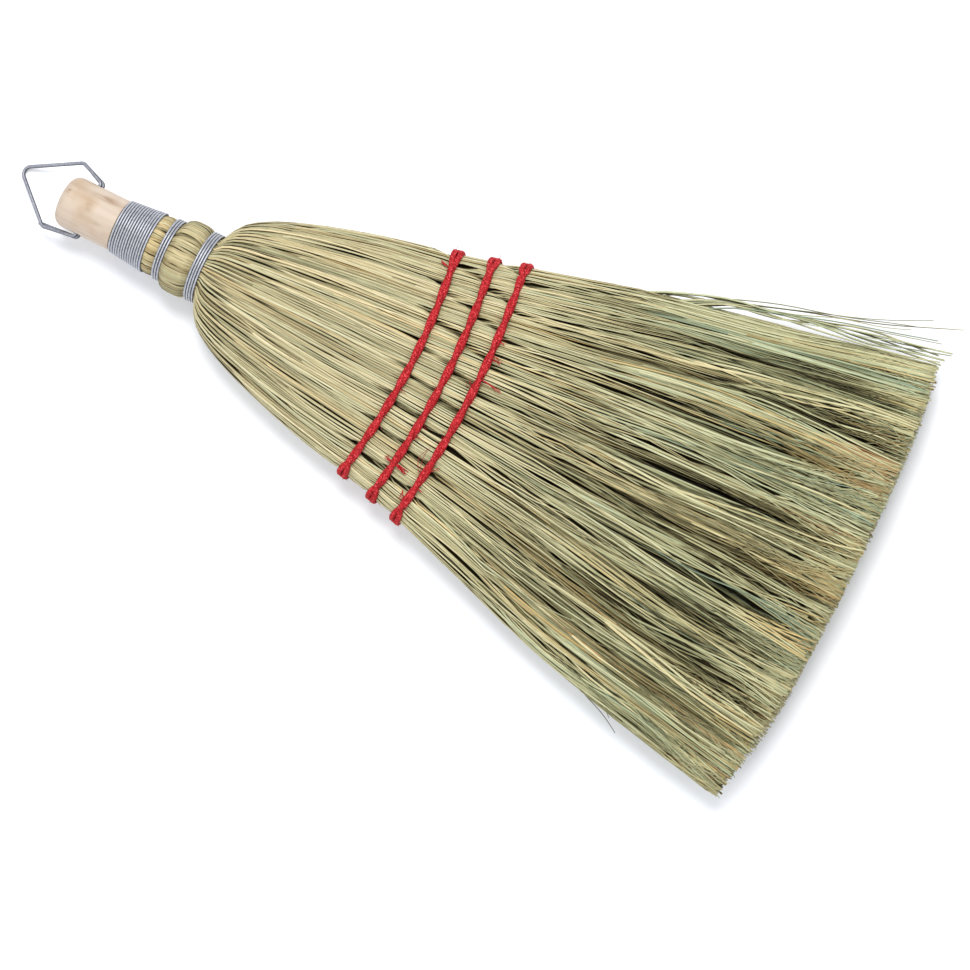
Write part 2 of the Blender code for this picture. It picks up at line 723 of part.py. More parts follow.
def stitch_holes_bmesh():
    """Upright prisms where the twine passes through the head."""
    radius = (TWINE_DIAMETER / 2 + SEAT_CLEARANCE) / math.cos(math.pi / STITCH_HOLE_SIDES)
    bm = bmesh.new()
    for row in range(len(ROW_PLACES)):
        for x, y, _ in stitch_places(row):
            bmesh.ops.create_cone(
                bm,
                cap_ends=True,
                segments=STITCH_HOLE_SIDES,
                radius1=radius,
                radius2=radius,
                depth=SWEEP_THICKNESS + CUTTER_OVERRUN,
                matrix=Matrix.Translation((x, y, 0)),
            )
    return bm


def main():
    """Build every piece and set the broom on the ground."""
    clear_scene()
    wood = make_material("pale_wood", (0.72, 0.58, 0.42), 0.55)
    wire = make_material("galvanised_wire", (0.55, 0.56, 0.60), 0.35, 1.0)
    corn = make_material("broom_corn", (0.60, 0.54, 0.31), 0.70)
    inner_corn = make_material("inner_broom_corn", (0.50, 0.45, 0.24), 0.75)
    red_twine = make_material("red_twine", (0.62, 0.02, 0.03), 0.80)

    axis = bpy.data.objects.new("broom_axis", None)
    bpy.context.collection.objects.link(axis)

    handle = add_object("handle", mesh_from_bmesh("handle", handle_bmesh()), wood, axis)
    handle.data.shade_smooth()
    handle.data.set_sharp_from_angle(angle=math.radians(SMOOTH_ANGLE_DEGREES))
    subtract(handle, add_cutter("cross_hole", cross_hole_bmesh(), axis))

    pivot = bpy.data.objects.new("loop_pivot", None)
    bpy.context.collection.objects.link(pivot)
    pivot.parent = axis
    pivot.location = (HOLE_SETBACK, 0, 0)
    pivot.rotation_euler = (0, -droop_angle(), 0)
    loop = add_tube("hanging_loop", loop_points(), LOOP_WIRE_DIAMETER, LOOP_SIDES_RESOLUTION, wire, pivot)

    stub_room = add_cutter("stub_room", stub_cutter_bmesh(), axis)
    stitch_holes = add_cutter("stitch_holes", stitch_holes_bmesh(), axis)
    inner = add_object("inner_corn", inner_mesh("inner_corn"), inner_corn, axis)
    subtract(inner, stub_room)
    subtract(inner, stitch_holes)
    bundles = {
        "top_hurl": TOP_CORNERS,
        "left_shoulder": LEFT_CORNERS,
        "bottom_hurl": BOTTOM_CORNERS,
        "right_shoulder": RIGHT_CORNERS,
    }
    for name, corners in bundles.items():
        bundle = add_object(name, cover_mesh(name, corners), corn, axis)
        subtract(bundle, stitch_holes)

    windings = {
        "handle_winding": (CORN_START, WINDING_TURNS),
        "neck_band": (NECK_BAND_START, NECK_BAND_TURNS),
        "shoulder_band": (SHOULDER_BAND_START, SHOULDER_BAND_TURNS),
    }
    for name, (start, turns) in windings.items():
        add_tube(name, winding_points(start, turns), WIRE_DIAMETER, WIRE_SIDES_RESOLUTION, wire, axis)
    for row in range(len(ROW_PLACES)):
        name = f"stitch_row_{row + 1}"
        add_tube(name, row_points(row), TWINE_DIAMETER, WIRE_SIDES_RESOLUTION, red_twine, axis)

    tip = max(vert.co.x for name in bundles for vert in bpy.data.objects[name].data.vertices)
    droop = droop_angle()
    reach = min(x * math.cos(droop) - z * math.sin(droop) for x, _, z in loop_points())
    low = HOLE_SETBACK + reach - LOOP_WIRE_DIAMETER / 2
    axis.location = (-(low + tip) / 2, 0, AXIS_HEIGHT)
    print(f"loop pivot at {HOLE_SETBACK + axis.location.x:.6f}, 0, {AXIS_HEIGHT:.6f}")
    print(f"handle end face at {axis.location.x:.6f}, length {tip - low:.4f}")
    print(f"droop {math.degrees(droop):.2f} degrees")
    print(f"strands start at {STRAND_ROOT + axis.location.x:.4f}")


main()
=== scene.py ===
"""Dresses a corn whisk broom: grip, wire loop, wire windings, corn, red stitching and a plain stage.

The broom lies along X, grip towards -X, with Y across it and Z up. A place on the corn is given by x, by a
share of the way round its section (0 on the +Y edge, 0.25 on top, 0.5 on the -Y edge) and by a depth under
its surface. Bundles of stalks and fibres are many tubes computed at once.
"""

import json
import math

import bpy
import numpy as np
from mathutils import Matrix, Vector


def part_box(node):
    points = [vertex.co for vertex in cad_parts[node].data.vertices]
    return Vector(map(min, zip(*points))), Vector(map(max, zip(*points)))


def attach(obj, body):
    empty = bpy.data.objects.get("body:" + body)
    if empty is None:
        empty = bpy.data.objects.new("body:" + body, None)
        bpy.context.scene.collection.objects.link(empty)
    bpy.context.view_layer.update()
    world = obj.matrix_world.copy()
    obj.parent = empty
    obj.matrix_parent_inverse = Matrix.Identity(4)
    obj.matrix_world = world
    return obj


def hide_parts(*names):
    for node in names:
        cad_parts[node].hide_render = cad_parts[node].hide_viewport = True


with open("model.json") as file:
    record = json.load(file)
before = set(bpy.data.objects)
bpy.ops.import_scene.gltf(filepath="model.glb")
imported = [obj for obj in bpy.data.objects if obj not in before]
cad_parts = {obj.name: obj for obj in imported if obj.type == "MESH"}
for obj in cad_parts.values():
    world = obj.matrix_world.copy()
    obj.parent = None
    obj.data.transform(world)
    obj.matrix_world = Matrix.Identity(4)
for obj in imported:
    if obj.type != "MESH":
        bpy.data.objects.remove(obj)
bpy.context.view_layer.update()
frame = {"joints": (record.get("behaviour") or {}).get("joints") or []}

bl_info = {
    "name": "Corn Whisk Broom",
    "version": (1, 0, 0),
    "blender": (4, 5, 0),
    "location": "3D View > Sidebar > Broom",
    "description": "Builds the visible surfaces of a corn whisk broom and a plain studio stage",
    "category": "Object",
}

MM = 0.001

# Places taken from the frame
PIVOT = np.array(frame["joints"][0]["pos_m"])
AXIS_Z = float(PIVOT[2])
GRIP_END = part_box("handle")[0].x
CORN_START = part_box("handle_winding")[0].x
WINDING_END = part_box("handle_winding")[1].x
NECK_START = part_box("neck_band")[0].x
NECK_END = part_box("neck_band")[1].x
BAND_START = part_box("shoulder_band")[0].x
BAND_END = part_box("shoulder_band")[1].x
SWEEP_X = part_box("top_hurl")[1].x
HANDLE_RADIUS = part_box("handle")[1].y

# Grip: its rounded end, the cross hole, and the hidden stub's radius at its start, further on and at its end
GRIP_ROUND = 5 * MM
GRIP_SIDES = 96
HOLE_RADIUS = 2.4 * MM
HOLE_SIDES = 40
STUB_RADII = (9.3 * MM, 7.4 * MM, 4.8 * MM)
STUB_BEND = 20 * MM
SEAT_GAP = 0.3 * MM

# Loop: its wire, the gap to the grip, the spacing of the two passes in the hole, and the gap to the ground
LOOP_WIRE = 1.8 * MM
LOOP_SIDE_GAP = 0.5 * MM
LOOP_PASS_SPACING = 2.4 * MM
LOOP_GROUND_GAP = 1.0 * MM
LOOP_ARC_POINTS = 9
LOOP_SIDES = 16

# Corners of the loop's wire: place along the broom from the pivot in mm, side of the grip, offset from the
# wire's line on that side in mm, and radius of the bend in mm
LOOP_CORNERS = (
    (-24.5, -1, -1.5, 0.0),
    (0.0, -1, 0.0, 1.8),
    (0.0, 1, 0.0, 1.8),
    (-16.8, 1, 5.3, 3.2),
    (-47.8, 0, 4.2, 3.2),
    (-20.4, -1, -2.4, 3.2),
    (0.0, -1, 0.0, 1.8),
    (0.0, 1, 0.0, 1.8),
    (-7.8, 1, 2.9, 0.0),
)
SHORT_CORNER = 3

# Windings: piece, node, ends and turns, and the wire's diameter, sides and wander off its line
WINDINGS = (
    ("long_winding", "handle_winding", CORN_START, WINDING_END, 14),
    ("narrow_band", "neck_band", NECK_START, NECK_END, 3),
    ("wide_band", "shoulder_band", BAND_START, BAND_END, 4),
)
WINDING_WIRE = 1.31 * MM
WINDING_SIDES = 12
WINDING_WANDER = 0.05 * MM

# Corn outline: neck and bulge in metres, head as shares of its length, half width and half thickness
BUTT_RADIUS = 12.1 * MM
WINDING_END_RADIUS = 14.15 * MM
STRIP_RADIUS = 14.85 * MM
NECK_SEAT_RADIUS = 14.4 * MM
BULGE_RADIUS = 18.4 * MM
BAND_SEAT_RADIUS = 16.35 * MM
SWEEP_HALF_WIDTH = 118 * MM
SWEEP_HALF_THICKNESS = 19.3 * MM
SWEEP_BOW = 10.2 * MM
NECK_ROUNDNESS = 2.0
HEAD_ROUNDNESS = 2.6
HEAD_SHARES = (
    (0.012, 0.208, 0.890),
    (0.025, 0.244, 0.920),
    (0.040, 0.272, 0.920),
    (0.069, 0.312, 0.890),
    (0.126, 0.370, 0.830),
    (0.211, 0.438, 0.760),
    (0.324, 0.509, 0.710),
    (0.437, 0.600, 0.720),
    (0.653, 0.795, 0.820),
    (0.820, 0.901, 0.905),
    (1.000, 1.000, 1.000),
)
BULGE_RISE_SHARES = ((0.16, 0.46), (0.48, 0.84))
BULGE_CREST = 4 * MM
TABLE_STEP = 1 * MM
TABLE_SHARES = 512
TABLE_ANGLES = 1441

# Ribs: the locks that the corn parts into, as the solids have them
RING_SIDES = 24
RIB_SPACING = 12 * MM
RIB_DEPTH = 1.0 * MM
SWEEP_RIB_DEPTH = 2.0 * MM
RIB_START = BAND_END + 13.5 * MM
RIB_FULL = BAND_END + 42.6 * MM

# Stitching
ROW_BOW = 6.8 * MM
ROW_SLANT = 1.4 * MM
ROW_BOXES = [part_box(f"stitch_row_{row}") for row in (1, 2, 3)]
ROW_X = [(low.x + high.x - ROW_BOW + ROW_SLANT) / 2 for low, high in ROW_BOXES]
STITCH_SPACING = 14.3 * MM
STITCH_SKEW = 3.2 * MM
STITCH_SHIFT = 4 * MM
TWINE_RADIUS = 1.52 * MM
TWINE_APART = 0.68 * MM
TWINE_SAMPLES = 900
TWINE_HAIRS = 420
TWIST_LENGTH = 5.0 * MM
TWIST_STEPS = 10
PLIES = 3
PLY_SIDES = 6
PLY_OFFSET = 0.42
PLY_RADIUS = 0.58

# Bundles of corn: name, node and shares of the way round
BUNDLES = (
    ("top", "top_hurl", (0.07, 0.43)),
    ("left", "left_shoulder", (0.43, 0.57)),
    ("bottom", "bottom_hurl", (0.57, 0.93)),
    ("right", "right_shoulder", (0.93, 1.07)),
)

FLANK_SHADE = 0.80
TRIM_SLANT = 0.12
SHADE_STOPS = (
    (0.00, (0.018, 0.014, 0.005)),
    (0.22, (0.058, 0.046, 0.020)),
    (0.50, (0.320, 0.303, 0.240)),
    (0.75, (0.700, 0.688, 0.620)),
    (1.00, (0.985, 0.990, 1.000)),
)
STREAK_TINT = (0.64, 0.62, 0.56)
WHITE = (1.0, 1.0, 1.0)
INNER_DEPTH = 4.5 * MM

# Sections of strands: each corner's sideways and outward share of the radius, and the light that it takes
STALK_SECTION = np.array(
    [
        (0.64, 0.80, 1.0),
        (-0.64, 0.80, 1.0),
        (-1.0, 0.0, 0.0),
        (-0.6, -0.7, 0.0),
        (0.6, -0.7, 0.0),
        (1.0, 0.0, 0.0),
    ]
)
FLAT_SECTION = STALK_SECTION * (1.0, 0.5, 1.0)
THIN_SECTION = np.array([(0.0, 1.0, 1.0), (-0.87, -0.5, 0.35), (0.87, -0.5, 0.35)])

# Stalks round the whole neck
NECK_STALKS = 170

# Stalks of the head, lengths in mm: those from under the shoulder band, and those that surface later
STALK_KINDS = (
    {"count": 300, "start": (-3.0, -3.0), "layer": 0, "radius": (0.52, 0.86), "narrowing": 0.38},
    {"count": 250, "start": (14.0, 75.0), "layer": 1, "radius": (0.33, 0.54), "narrowing": 0.10},
)

# Loose ends of the twine: row, place across, reach along and across, hairs, their radius and bend, in mm
LOOSE_ENDS = np.array(
    [
        (0, 50.9, -5.0, 1.0, 4, 0.28, 0.6),
        (0, -12.0, 2.6, 1.2, 2, 0.14, 0.6),
        (1, -43.1, 6.3, -1.7, 7, 0.32, 0.5),
        (1, -42.3, -4.2, 0.5, 5, 0.22, 0.6),
        (1, -30.4, 3.0, 4.8, 3, 0.15, 0.8),
        (1, 36.0, 2.4, 0.8, 2, 0.15, 0.5),
        (2, 10.0, 10.5, -1.0, 5, 0.24, 0.5),
        (2, 20.3, 5.8, 0.0, 3, 0.18, 0.7),
        (2, 22.0, 5.0, -1.8, 2, 0.18, 0.6),
        (2, 29.0, 3.0, 0.4, 4, 0.22, 0.4),
        (2, 6.1, -3.2, 1.0, 3, 0.13, 1.9),
        (2, -43.3, -1.0, 13.5, 2, 0.13, 2.0),
        (2, -40.8, 5.0, 6.5, 3, 0.15, 1.0),
        (2, -54.8, -3.6, 1.6, 5, 0.18, 1.8),
        (2, -49.0, 2.6, -1.0, 3, 0.18, 0.8),
    ]
)

# Brown marks on the grip: centre from its end and the axis, reach along each axis, all in mm, and strength
WOOD_MARKS = (
    ((23.0, 8.4, 9.4), (13.0, 3.2, 4.0), 0.70),
    ((15.5, 1.2, 12.7), (3.2, 4.4, 3.0), 0.40),
    ((23.0, -4.6, 11.8), (5.0, 1.6, 3.0), 0.45),
    ((2.4, 4.6, 11.6), (3.2, 3.0, 3.0), 1.00),
)

# Kinds of free fibres in the sweep, lengths in mm; starts are counted from the last row. The deep kind's
# low tone is painted shade.
FIBRE_KINDS = {
    "thick": {
        "portion": 1.30,
        "depth": (0.0, 1.7),
        "start": (2.0, 110.0),
        "radius": (0.36, 0.74),
        "taper": 0.42,
        "lean": 2.6,
        "frizz": 0.0,
        "short": 2.0,
        "tone": 1.10,
        "steps": 18,
        "section": STALK_SECTION,
    },
    "deep": {
        "portion": 1.1,
        "depth": (2.2, 5.5),
        "start": (0.0, 25.0),
        "radius": (0.45, 0.80),
        "taper": 0.40,
        "lean": 3.5,
        "frizz": 0.0,
        "short": 2.0,
        "tone": 0.38,
        "steps": 12,
        "section": THIN_SECTION,
    },
    "fine": {
        "portion": 1.7,
        "depth": (-0.2, 1.4),
        "start": (70.0, 190.0),
        "radius": (0.19, 0.33),
        "taper": 0.45,
        "lean": 3.5,
        "frizz": 0.52,
        "short": 2.2,
        "tone": 1.05,
        "steps": 28,
        "section": THIN_SECTION,
    },
}

# How far the +Y edge of the sweep lies inside the solids' edge, by the way from the last row
EDGE_TUCK = (
    np.array([0, 15, 45, 85, 130, 230]) * MM,
    np.array([0, 0.4, 1.4, 4.8, 6.2, 5.4]) * MM,
)

# Strays off the sweep's edges, lengths in mm: count, share round it, reach off it, radius, start past the
# last row, distance of the tips from the sweep's end, and tone
STRAY_GROUPS = (
    (8, 0.0, (-4.0, 3.0), (0.36, 0.70), (15.0, 70.0), (4.0, 12.0), 0.90),
    (7, 0.0, (4.0, 14.0), (0.27, 0.38), (30.0, 90.0), (2.0, 30.0), 0.80),
    (2, 0.5, (3.0, 7.0), (0.16, 0.22), (95.0, 120.0), (62.0, 78.0), 0.35),
)


# What each kind of piece adds to the seed
SEED_STEPS = {"windings": 0, "inner": 20, "stalks": 40, "fibres": 60, "strays": 80, "stitches": 100}

# Stage: the floor's reach each way, the camera's focal length and the photograph's width in pixels, angles
# in degrees, and lamps as name, place, width and power
FLOOR_REACH = 6.0
CAMERA_FOCUS = 4500
PHOTO_WIDTH = 970
SENSOR_WIDTH = 36.0
CAMERA_TILT = 7.9
CAMERA_TURN = 26.4
CAMERA_DISTANCE = 2.11
CAMERA_TARGET = np.array([GRIP_END + 242.5 * MM, -33.2 * MM, AXIS_Z])
LAMPS = (
    ("key_light", (-0.2, 1.1, 2.3), 1.3, 58.0),
    ("fill_light", (0.1, -1.5, 1.4), 1.2, 14.0),
)
LAMP_TARGET = (0.03, 0.0, 0.0)
WORLD_COLOUR = (0.93, 0.95, 1.0, 1.0)
WORLD_STRENGTH = 0.72


def smooth_step(start, end, x):
    """0 before start, 1 after end and 3t^2 - 2t^3 between, with t the share of the way."""
    t = np.clip((x - start) / (end - start), 0.0, 1.0)
    return t * t * (3 - 2 * t)


def through(places, values, at):
    """A curve through known values that never overshoots them.

    Cubics between the places, whose slope at each place is the harmonic mean of the chords beside it, or
    zero where the chords have opposite signs.
    """
    places, values = np.asarray(places, float), np.asarray(values, float)
    chords = np.diff(values) / np.diff(places)
    slopes = np.concatenate([chords[:1], np.zeros(len(values) - 2), chords[-1:]])
    product = chords[:-1] * chords[1:]
    total = np.where(product > 0, chords[:-1] + chords[1:], 1.0)
    slopes[1:-1] = np.where(product > 0, 2 * product / total, 0.0)
    k = np.clip(np.searchsorted(places, at) - 1, 0, len(places) - 2)
    width = places[k + 1] - places[k]
    t = np.clip((at - places[k]) / width, 0.0, 1.0)
    first = (2 * t**3 - 3 * t**2 + 1) * values[k] + (t**3 - 2 * t**2 + t) * width * slopes[k]
    second = (3 * t**2 - 2 * t**3) * values[k + 1] + (t**3 - t**2) * width * slopes[k + 1]
    return first + second


def outline_stations():
    """(x, half width, half thickness, roundness) at each known section, from the butts to the sweep."""
    crest = (NECK_END + BAND_START) / 2
    rows = [
        (CORN_START, BUTT_RADIUS),
        (WINDING_END, WINDING_END_RADIUS),
        ((WINDING_END + NECK_START) / 2, STRIP_RADIUS),
        (NECK_START, NECK_SEAT_RADIUS),
        (NECK_END, NECK_SEAT_RADIUS),
    ]
    for along, out in BULGE_RISE_SHARES:
        x = NECK_END + along * (crest - BULGE_CREST / 2 - NECK_END)
        rows.append((x, NECK_SEAT_RADIUS + out * (BULGE_RADIUS - NECK_SEAT_RADIUS)))
    rows += [(crest - BULGE_CREST / 2, BULGE_RADIUS), (crest + BULGE_CREST / 2, BULGE_RADIUS)]
    for along, out in reversed(BULGE_RISE_SHARES):
        x = BAND_START - along * (BAND_START - crest - BULGE_CREST / 2)
        rows.append((x, BAND_SEAT_RADIUS + out * (BULGE_RADIUS - BAND_SEAT_RADIUS)))
    rows += [(BAND_START, BAND_SEAT_RADIUS), (BAND_END, BAND_SEAT_RADIUS)]
    stations = [(x, radius, radius, NECK_ROUNDNESS) for x, radius in rows]
    for along, wide, thick in HEAD_SHARES:
        roundness = NECK_ROUNDNESS + min(1.0, along / 0.2) * (HEAD_ROUNDNESS - NECK_ROUNDNESS)
        x = BAND_END + along * (SWEEP_X - BAND_END)
        stations.append((x, wide * SWEEP_HALF_WIDTH, thick * SWEEP_HALF_THICKNESS, roundness))
    return np.array(stations).T


def superellipse(width, height, roundness, angle):
    """Points of |y/w|^n + |z/h|^n = 1 with half width w and half height h.

    They are y = w cos^(2/n), z = h sin^(2/n) of one angle, each with its sine's or cosine's own sign.
    """
    power = 2 / roundness
    y = width * np.sign(np.cos(angle)) * np.abs(np.cos(angle)) ** power
    z = height * np.sign(np.sin(angle)) * np.abs(np.sin(angle)) ** power
    return y, z


def section_tables():
    """Sections every TABLE_STEP along the corn, each sampled at even steps of length round it.

    The rib phase goes up by one from rib to rib round a section. Each of the 24 sides, seven and a half
    degrees either way of its corner, holds as many whole ribs as fit at the last row's width.
    """
    places, wide, thick, roundness = outline_stations()
    x = np.arange(CORN_START - 2 * MM, SWEEP_X + 12 * MM, TABLE_STEP)
    inside = np.clip(x, places[0], places[-1])
    width = through(places, wide, inside)
    width += np.maximum(0, x - places[-1]) * (wide[-1] - wide[-2]) / (places[-1] - places[-2])
    height = through(places, thick, inside)
    angle = np.linspace(0, math.tau, TABLE_ANGLES)
    y, z = superellipse(width[:, None], height[:, None], through(places, roundness, inside)[:, None], angle)
    length = np.cumsum(np.hypot(np.diff(y, axis=1), np.diff(z, axis=1)), axis=1)
    length = np.pad(length, ((0, 0), (1, 0)))

    root = int((ROW_X[2] + ROW_BOW - x[0]) / TABLE_STEP)
    corners = (np.arange(-1, RING_SIDES + 1) + 0.5) * math.tau / RING_SIDES
    ring_y, ring_z = superellipse(width[root], height[root], HEAD_ROUNDNESS, corners)
    counts = np.round(np.hypot(np.diff(ring_y), np.diff(ring_z)) / RIB_SPACING)
    phase = np.interp(angle, corners, np.concatenate([[0], np.cumsum(counts)]))

    at = np.linspace(0, 1, TABLE_SHARES + 1) * length[:, -1:]
    table_y = np.array([np.interp(*rows) for rows in zip(at, length, y)])
    table_z = np.array([np.interp(*rows) for rows in zip(at, length, z)])
    table_phase = np.array([np.interp(a, row, phase) for a, row in zip(at, length)])
    return x, width, height, length[:, -1], table_y, table_z, table_phase


TABLE_X, HALF_WIDTH, HALF_HEIGHT, PERIMETER, TABLE_Y, TABLE_Z, TABLE_PHASE = section_tables()


def perimeter(x):
    """The length round the corn at x."""
    return np.interp(x, TABLE_X, PERIMETER)


def half_width(x):
    """Half the corn's width at x."""
    return np.interp(x, TABLE_X, HALF_WIDTH)


def half_height(x):
    """Half the corn's thickness at x."""
    return np.interp(x, TABLE_X, HALF_HEIGHT)


def look_up(tables, x, share):
    """The tables' values at x and a share round the corn, straight between samples."""
    i = np.clip((x - TABLE_X[0]) / TABLE_STEP, 0, len(TABLE_X) - 1.001)
    j = np.mod(share, 1.0) * TABLE_SHARES
    i0, j0 = i.astype(int), np.minimum(j.astype(int), TABLE_SHARES - 1)
    s, t = i - i0, j - j0
    return [
        (1 - s) * ((1 - t) * table[i0, j0] + t * table[i0, j0 + 1])
        + s * ((1 - t) * table[i0 + 1, j0] + t * table[i0 + 1, j0 + 1])
        for table in tables
    ]


def groove(x, share):
    """How far the grooves between the ribs reach under the surface: (1 - cos) / 2 of the rib phase."""
    (phase,) = look_up([TABLE_PHASE], x, share)
    rise = RIB_DEPTH * np.clip((x - RIB_START) / (RIB_FULL - RIB_START), 0, 1)
    open_share = np.clip((x - ROW_X[2]) / (SWEEP_X - ROW_X[2]), 0, 1)
    return (rise + (SWEEP_RIB_DEPTH - RIB_DEPTH) * open_share) * (1 - np.cos(math.tau * phase)) / 2


def on_corn(x, share, depth):
    """Points under the corn's surface, and the outward direction there.

    The section's point is looked up in the tables and drawn in by its depth: y by depth over half width and
    z by depth over half height.
    """
    y, z = look_up([TABLE_Y, TABLE_Z], x, share)
    wide, high = half_width(x), half_height(x)
    out_y = np.sign(y) * np.abs(y / wide) ** 1.4 / wide
    out_z = np.sign(z) * np.abs(z / high) ** 1.4 / high
    size = np.hypot(out_y, out_z) + 1e-9
    normal = np.stack([np.zeros_like(y), out_y / size, out_z / size], axis=-1)
    y = y * (1 - np.minimum(depth / wide, 0.97))
    z = z * (1 - np.minimum(depth / high, 0.97))
    return np.stack([x, y, AXIS_Z + z], axis=-1), normal


def sweep_end(y, z):
    """Where the trimmed sweep ends: a parabola across y, flatter at +Y, and slanted back towards low z."""
    bow = SWEEP_BOW * (y / SWEEP_HALF_WIDTH) ** 2 * np.where(y > 0, 0.65, 1.0)
    return SWEEP_X - bow - TRIM_SLANT * np.maximum(AXIS_Z + SWEEP_HALF_THICKNESS - z, 0)


def row_x(row, y):
    """Where a stitched row lies at y: it bows towards the sweep in the middle and slants a little."""
    across = np.clip(y / half_width(ROW_X[row]), -1, 1)
    return ROW_X[row] + ROW_BOW * (1 - across**2) + ROW_SLANT * across


def waves(random, count, x, lengths, sizes):
    """Smooth random sideways runs, one per strand: a sum of sines of the given wave lengths and sizes."""
    total = np.zeros((count, x.shape[-1]))
    for length, size in zip(lengths, sizes):
        phase = random.uniform(0, math.tau, (count, 1))
        stretch = random.uniform(0.7, 1.4, (count, 1))
        height = size * random.normal(0, 1, (count, 1))
        total += height * np.sin(math.tau * x * stretch / length + phase)
    return total


# Meshes


def new_piece(name, material, points, faces, attributes=None, smooth=True):
    """A mesh from an array of points and arrays of faces, each array with its own corner count.

    Its material is made when it is first asked for.
    """
    counts = np.concatenate([np.full(len(group), group.shape[1]) for group in faces])
    corners = np.concatenate([group.reshape(-1) for group in faces]).astype(np.int32)
    mesh = bpy.data.meshes.new(name)
    mesh.vertices.add(len(points))
    mesh.vertices.foreach_set("co", np.ascontiguousarray(points, np.float32).reshape(-1))
    mesh.loops.add(len(corners))
    mesh.loops.foreach_set("vertex_index", corners)
    mesh.polygons.add(len(counts))
    starts = np.concatenate([[0], np.cumsum(counts)[:-1]]).astype(np.int32)
    mesh.polygons.foreach_set("loop_start", starts)
    mesh.update(calc_edges=True)
    mesh.polygons.foreach_set("use_smooth", np.full(len(counts), smooth))
    for key, values in (attributes or {}).items():
        channel = mesh.attributes.new(key, "FLOAT", "POINT")
        channel.data.foreach_set("value", np.ascontiguousarray(values, np.float32).reshape(-1))
    mesh.validate()
    mesh.materials.append(bpy.data.materials.get(material) or MATERIALS[material](material))
    obj = bpy.data.objects.new(name, mesh)
    bpy.context.scene.collection.objects.link(obj)
    return obj


def round_section(sides, first=math.pi / 2):
    """A circle's corners as sideways and outward shares of the radius; the first one faces outwards."""
    angle = first + np.arange(sides) * math.tau / sides
    return np.stack([np.cos(angle), np.sin(angle)], axis=1)


def unit(vectors):
    """Vectors of length one."""
    return vectors / (np.linalg.norm(vectors, axis=-1, keepdims=True) + 1e-12)


def square_frame(tangent, outward):
    """The outward direction made square to a path's tangent, and the sideways one, S = N x T."""
    tangent = unit(tangent)
    normal = unit(outward - (outward * tangent).sum(axis=-1, keepdims=True) * tangent)
    return normal, np.cross(normal, tangent)


def skin(index):
    """The faces between neighbouring rings of point numbers, each ring closed on itself."""
    near, far = index[..., :-1, :], index[..., 1:, :]
    corners = [near, np.roll(near, -1, axis=-1), np.roll(far, -1, axis=-1), far]
    return np.stack(corners, axis=-1).reshape(-1, 4)


def closed_skin(rings, ends):
    """Rings of points as one closed surface: a fan from each end point closes the first and last ring."""
    index = np.arange(rings.shape[0] * rings.shape[1]).reshape(rings.shape[:2])
    points = np.concatenate([rings.reshape(-1, 3), ends])
    first, last = np.full((2, rings.shape[1]), [[len(points) - 2], [len(points) - 1]])
    low_fan = np.stack([first, np.roll(index[0], -1), index[0]], axis=-1)
    high_fan = np.stack([last, index[-1], np.roll(index[-1], -1)], axis=-1)
    return points, [skin(index), low_fan, high_fan]


def tubes(paths, radii, section, outward, closed=False):
    """Tubes along many paths at once, as points and faces.

    A tube is P(u, v) = C(u) + r(u) (a(v) S(u) + b(v) N(u)): C is its path, N the outward direction made
    square to it, S = N x T the sideways one, and (a, b) the corners of its section. Flat caps close both
    ends, unless the path itself is closed.
    """
    tangent = np.gradient(paths, axis=1)
    if closed:
        tangent = np.roll(paths, -1, axis=1) - np.roll(paths, 1, axis=1)
    normal, side = square_frame(tangent, outward)
    across = section[:, :1] * side[:, :, None, :] + section[:, 1:2] * normal[:, :, None, :]
    points = paths[:, :, None, :] + radii[:, :, None, None] * across
    index = np.arange(points[..., 0].size).reshape(points.shape[:3])
    if closed:
        return points.reshape(-1, 3), [skin(np.concatenate([index, index[:, :1]], axis=1))]
    return points.reshape(-1, 3), [skin(index), index[:, 0, ::-1], index[:, -1, :]]


def spread(values, steps, sides):
    """One value per strand, or per strand and step, given to every point of its tube."""
    values = np.asarray(values, float)
    if values.ndim == 1:
        values = np.repeat(values[:, None], steps, axis=1)
    return np.repeat(values[:, :, None], sides, axis=2)


def join(parts):
    """Several (points, faces, attributes) as one; parts may have no attributes."""
    points = np.concatenate([part[0] for part in parts])
    starts = np.cumsum([0] + [len(part[0]) for part in parts[:-1]])
    faces = [group + start for part, start in zip(parts, starts) for group in part[1]]
    keys = parts[0][2] if len(parts[0]) > 2 else ()
    attributes = {key: np.concatenate([part[2][key].reshape(-1) for part in parts]) for key in keys}
    return points, faces, attributes


def strands(paths, normals, radii, section, tone, warmth, along):
    """Corn strands with what their material reads: tone, warmth and place along the broom.

    A strand's tone falls towards its flanks and stays low on its inner side, where neighbours hide it, but
    less so at the trimmed tips, which light reaches from the end.
    """
    steps, sides = paths.shape[1], len(section)
    paths = paths.copy()
    paths[:, :, 2] = np.maximum(paths[:, :, 2], radii)
    points, faces = tubes(paths, radii, section, normals)
    near_tip = smooth_step(SWEEP_X - 18 * MM, SWEEP_X - 3 * MM, paths[:, :, 0])
    flank = spread(FLANK_SHADE * (1 - 0.95 * near_tip), steps, sides)
    attributes = {
        "tone": spread(tone, steps, sides) - flank * (1 - section[:, 2]),
        "warmth": spread(warmth, steps, sides),
        "along": spread(along, steps, sides),
    }
    return points, faces, attributes


# Corn


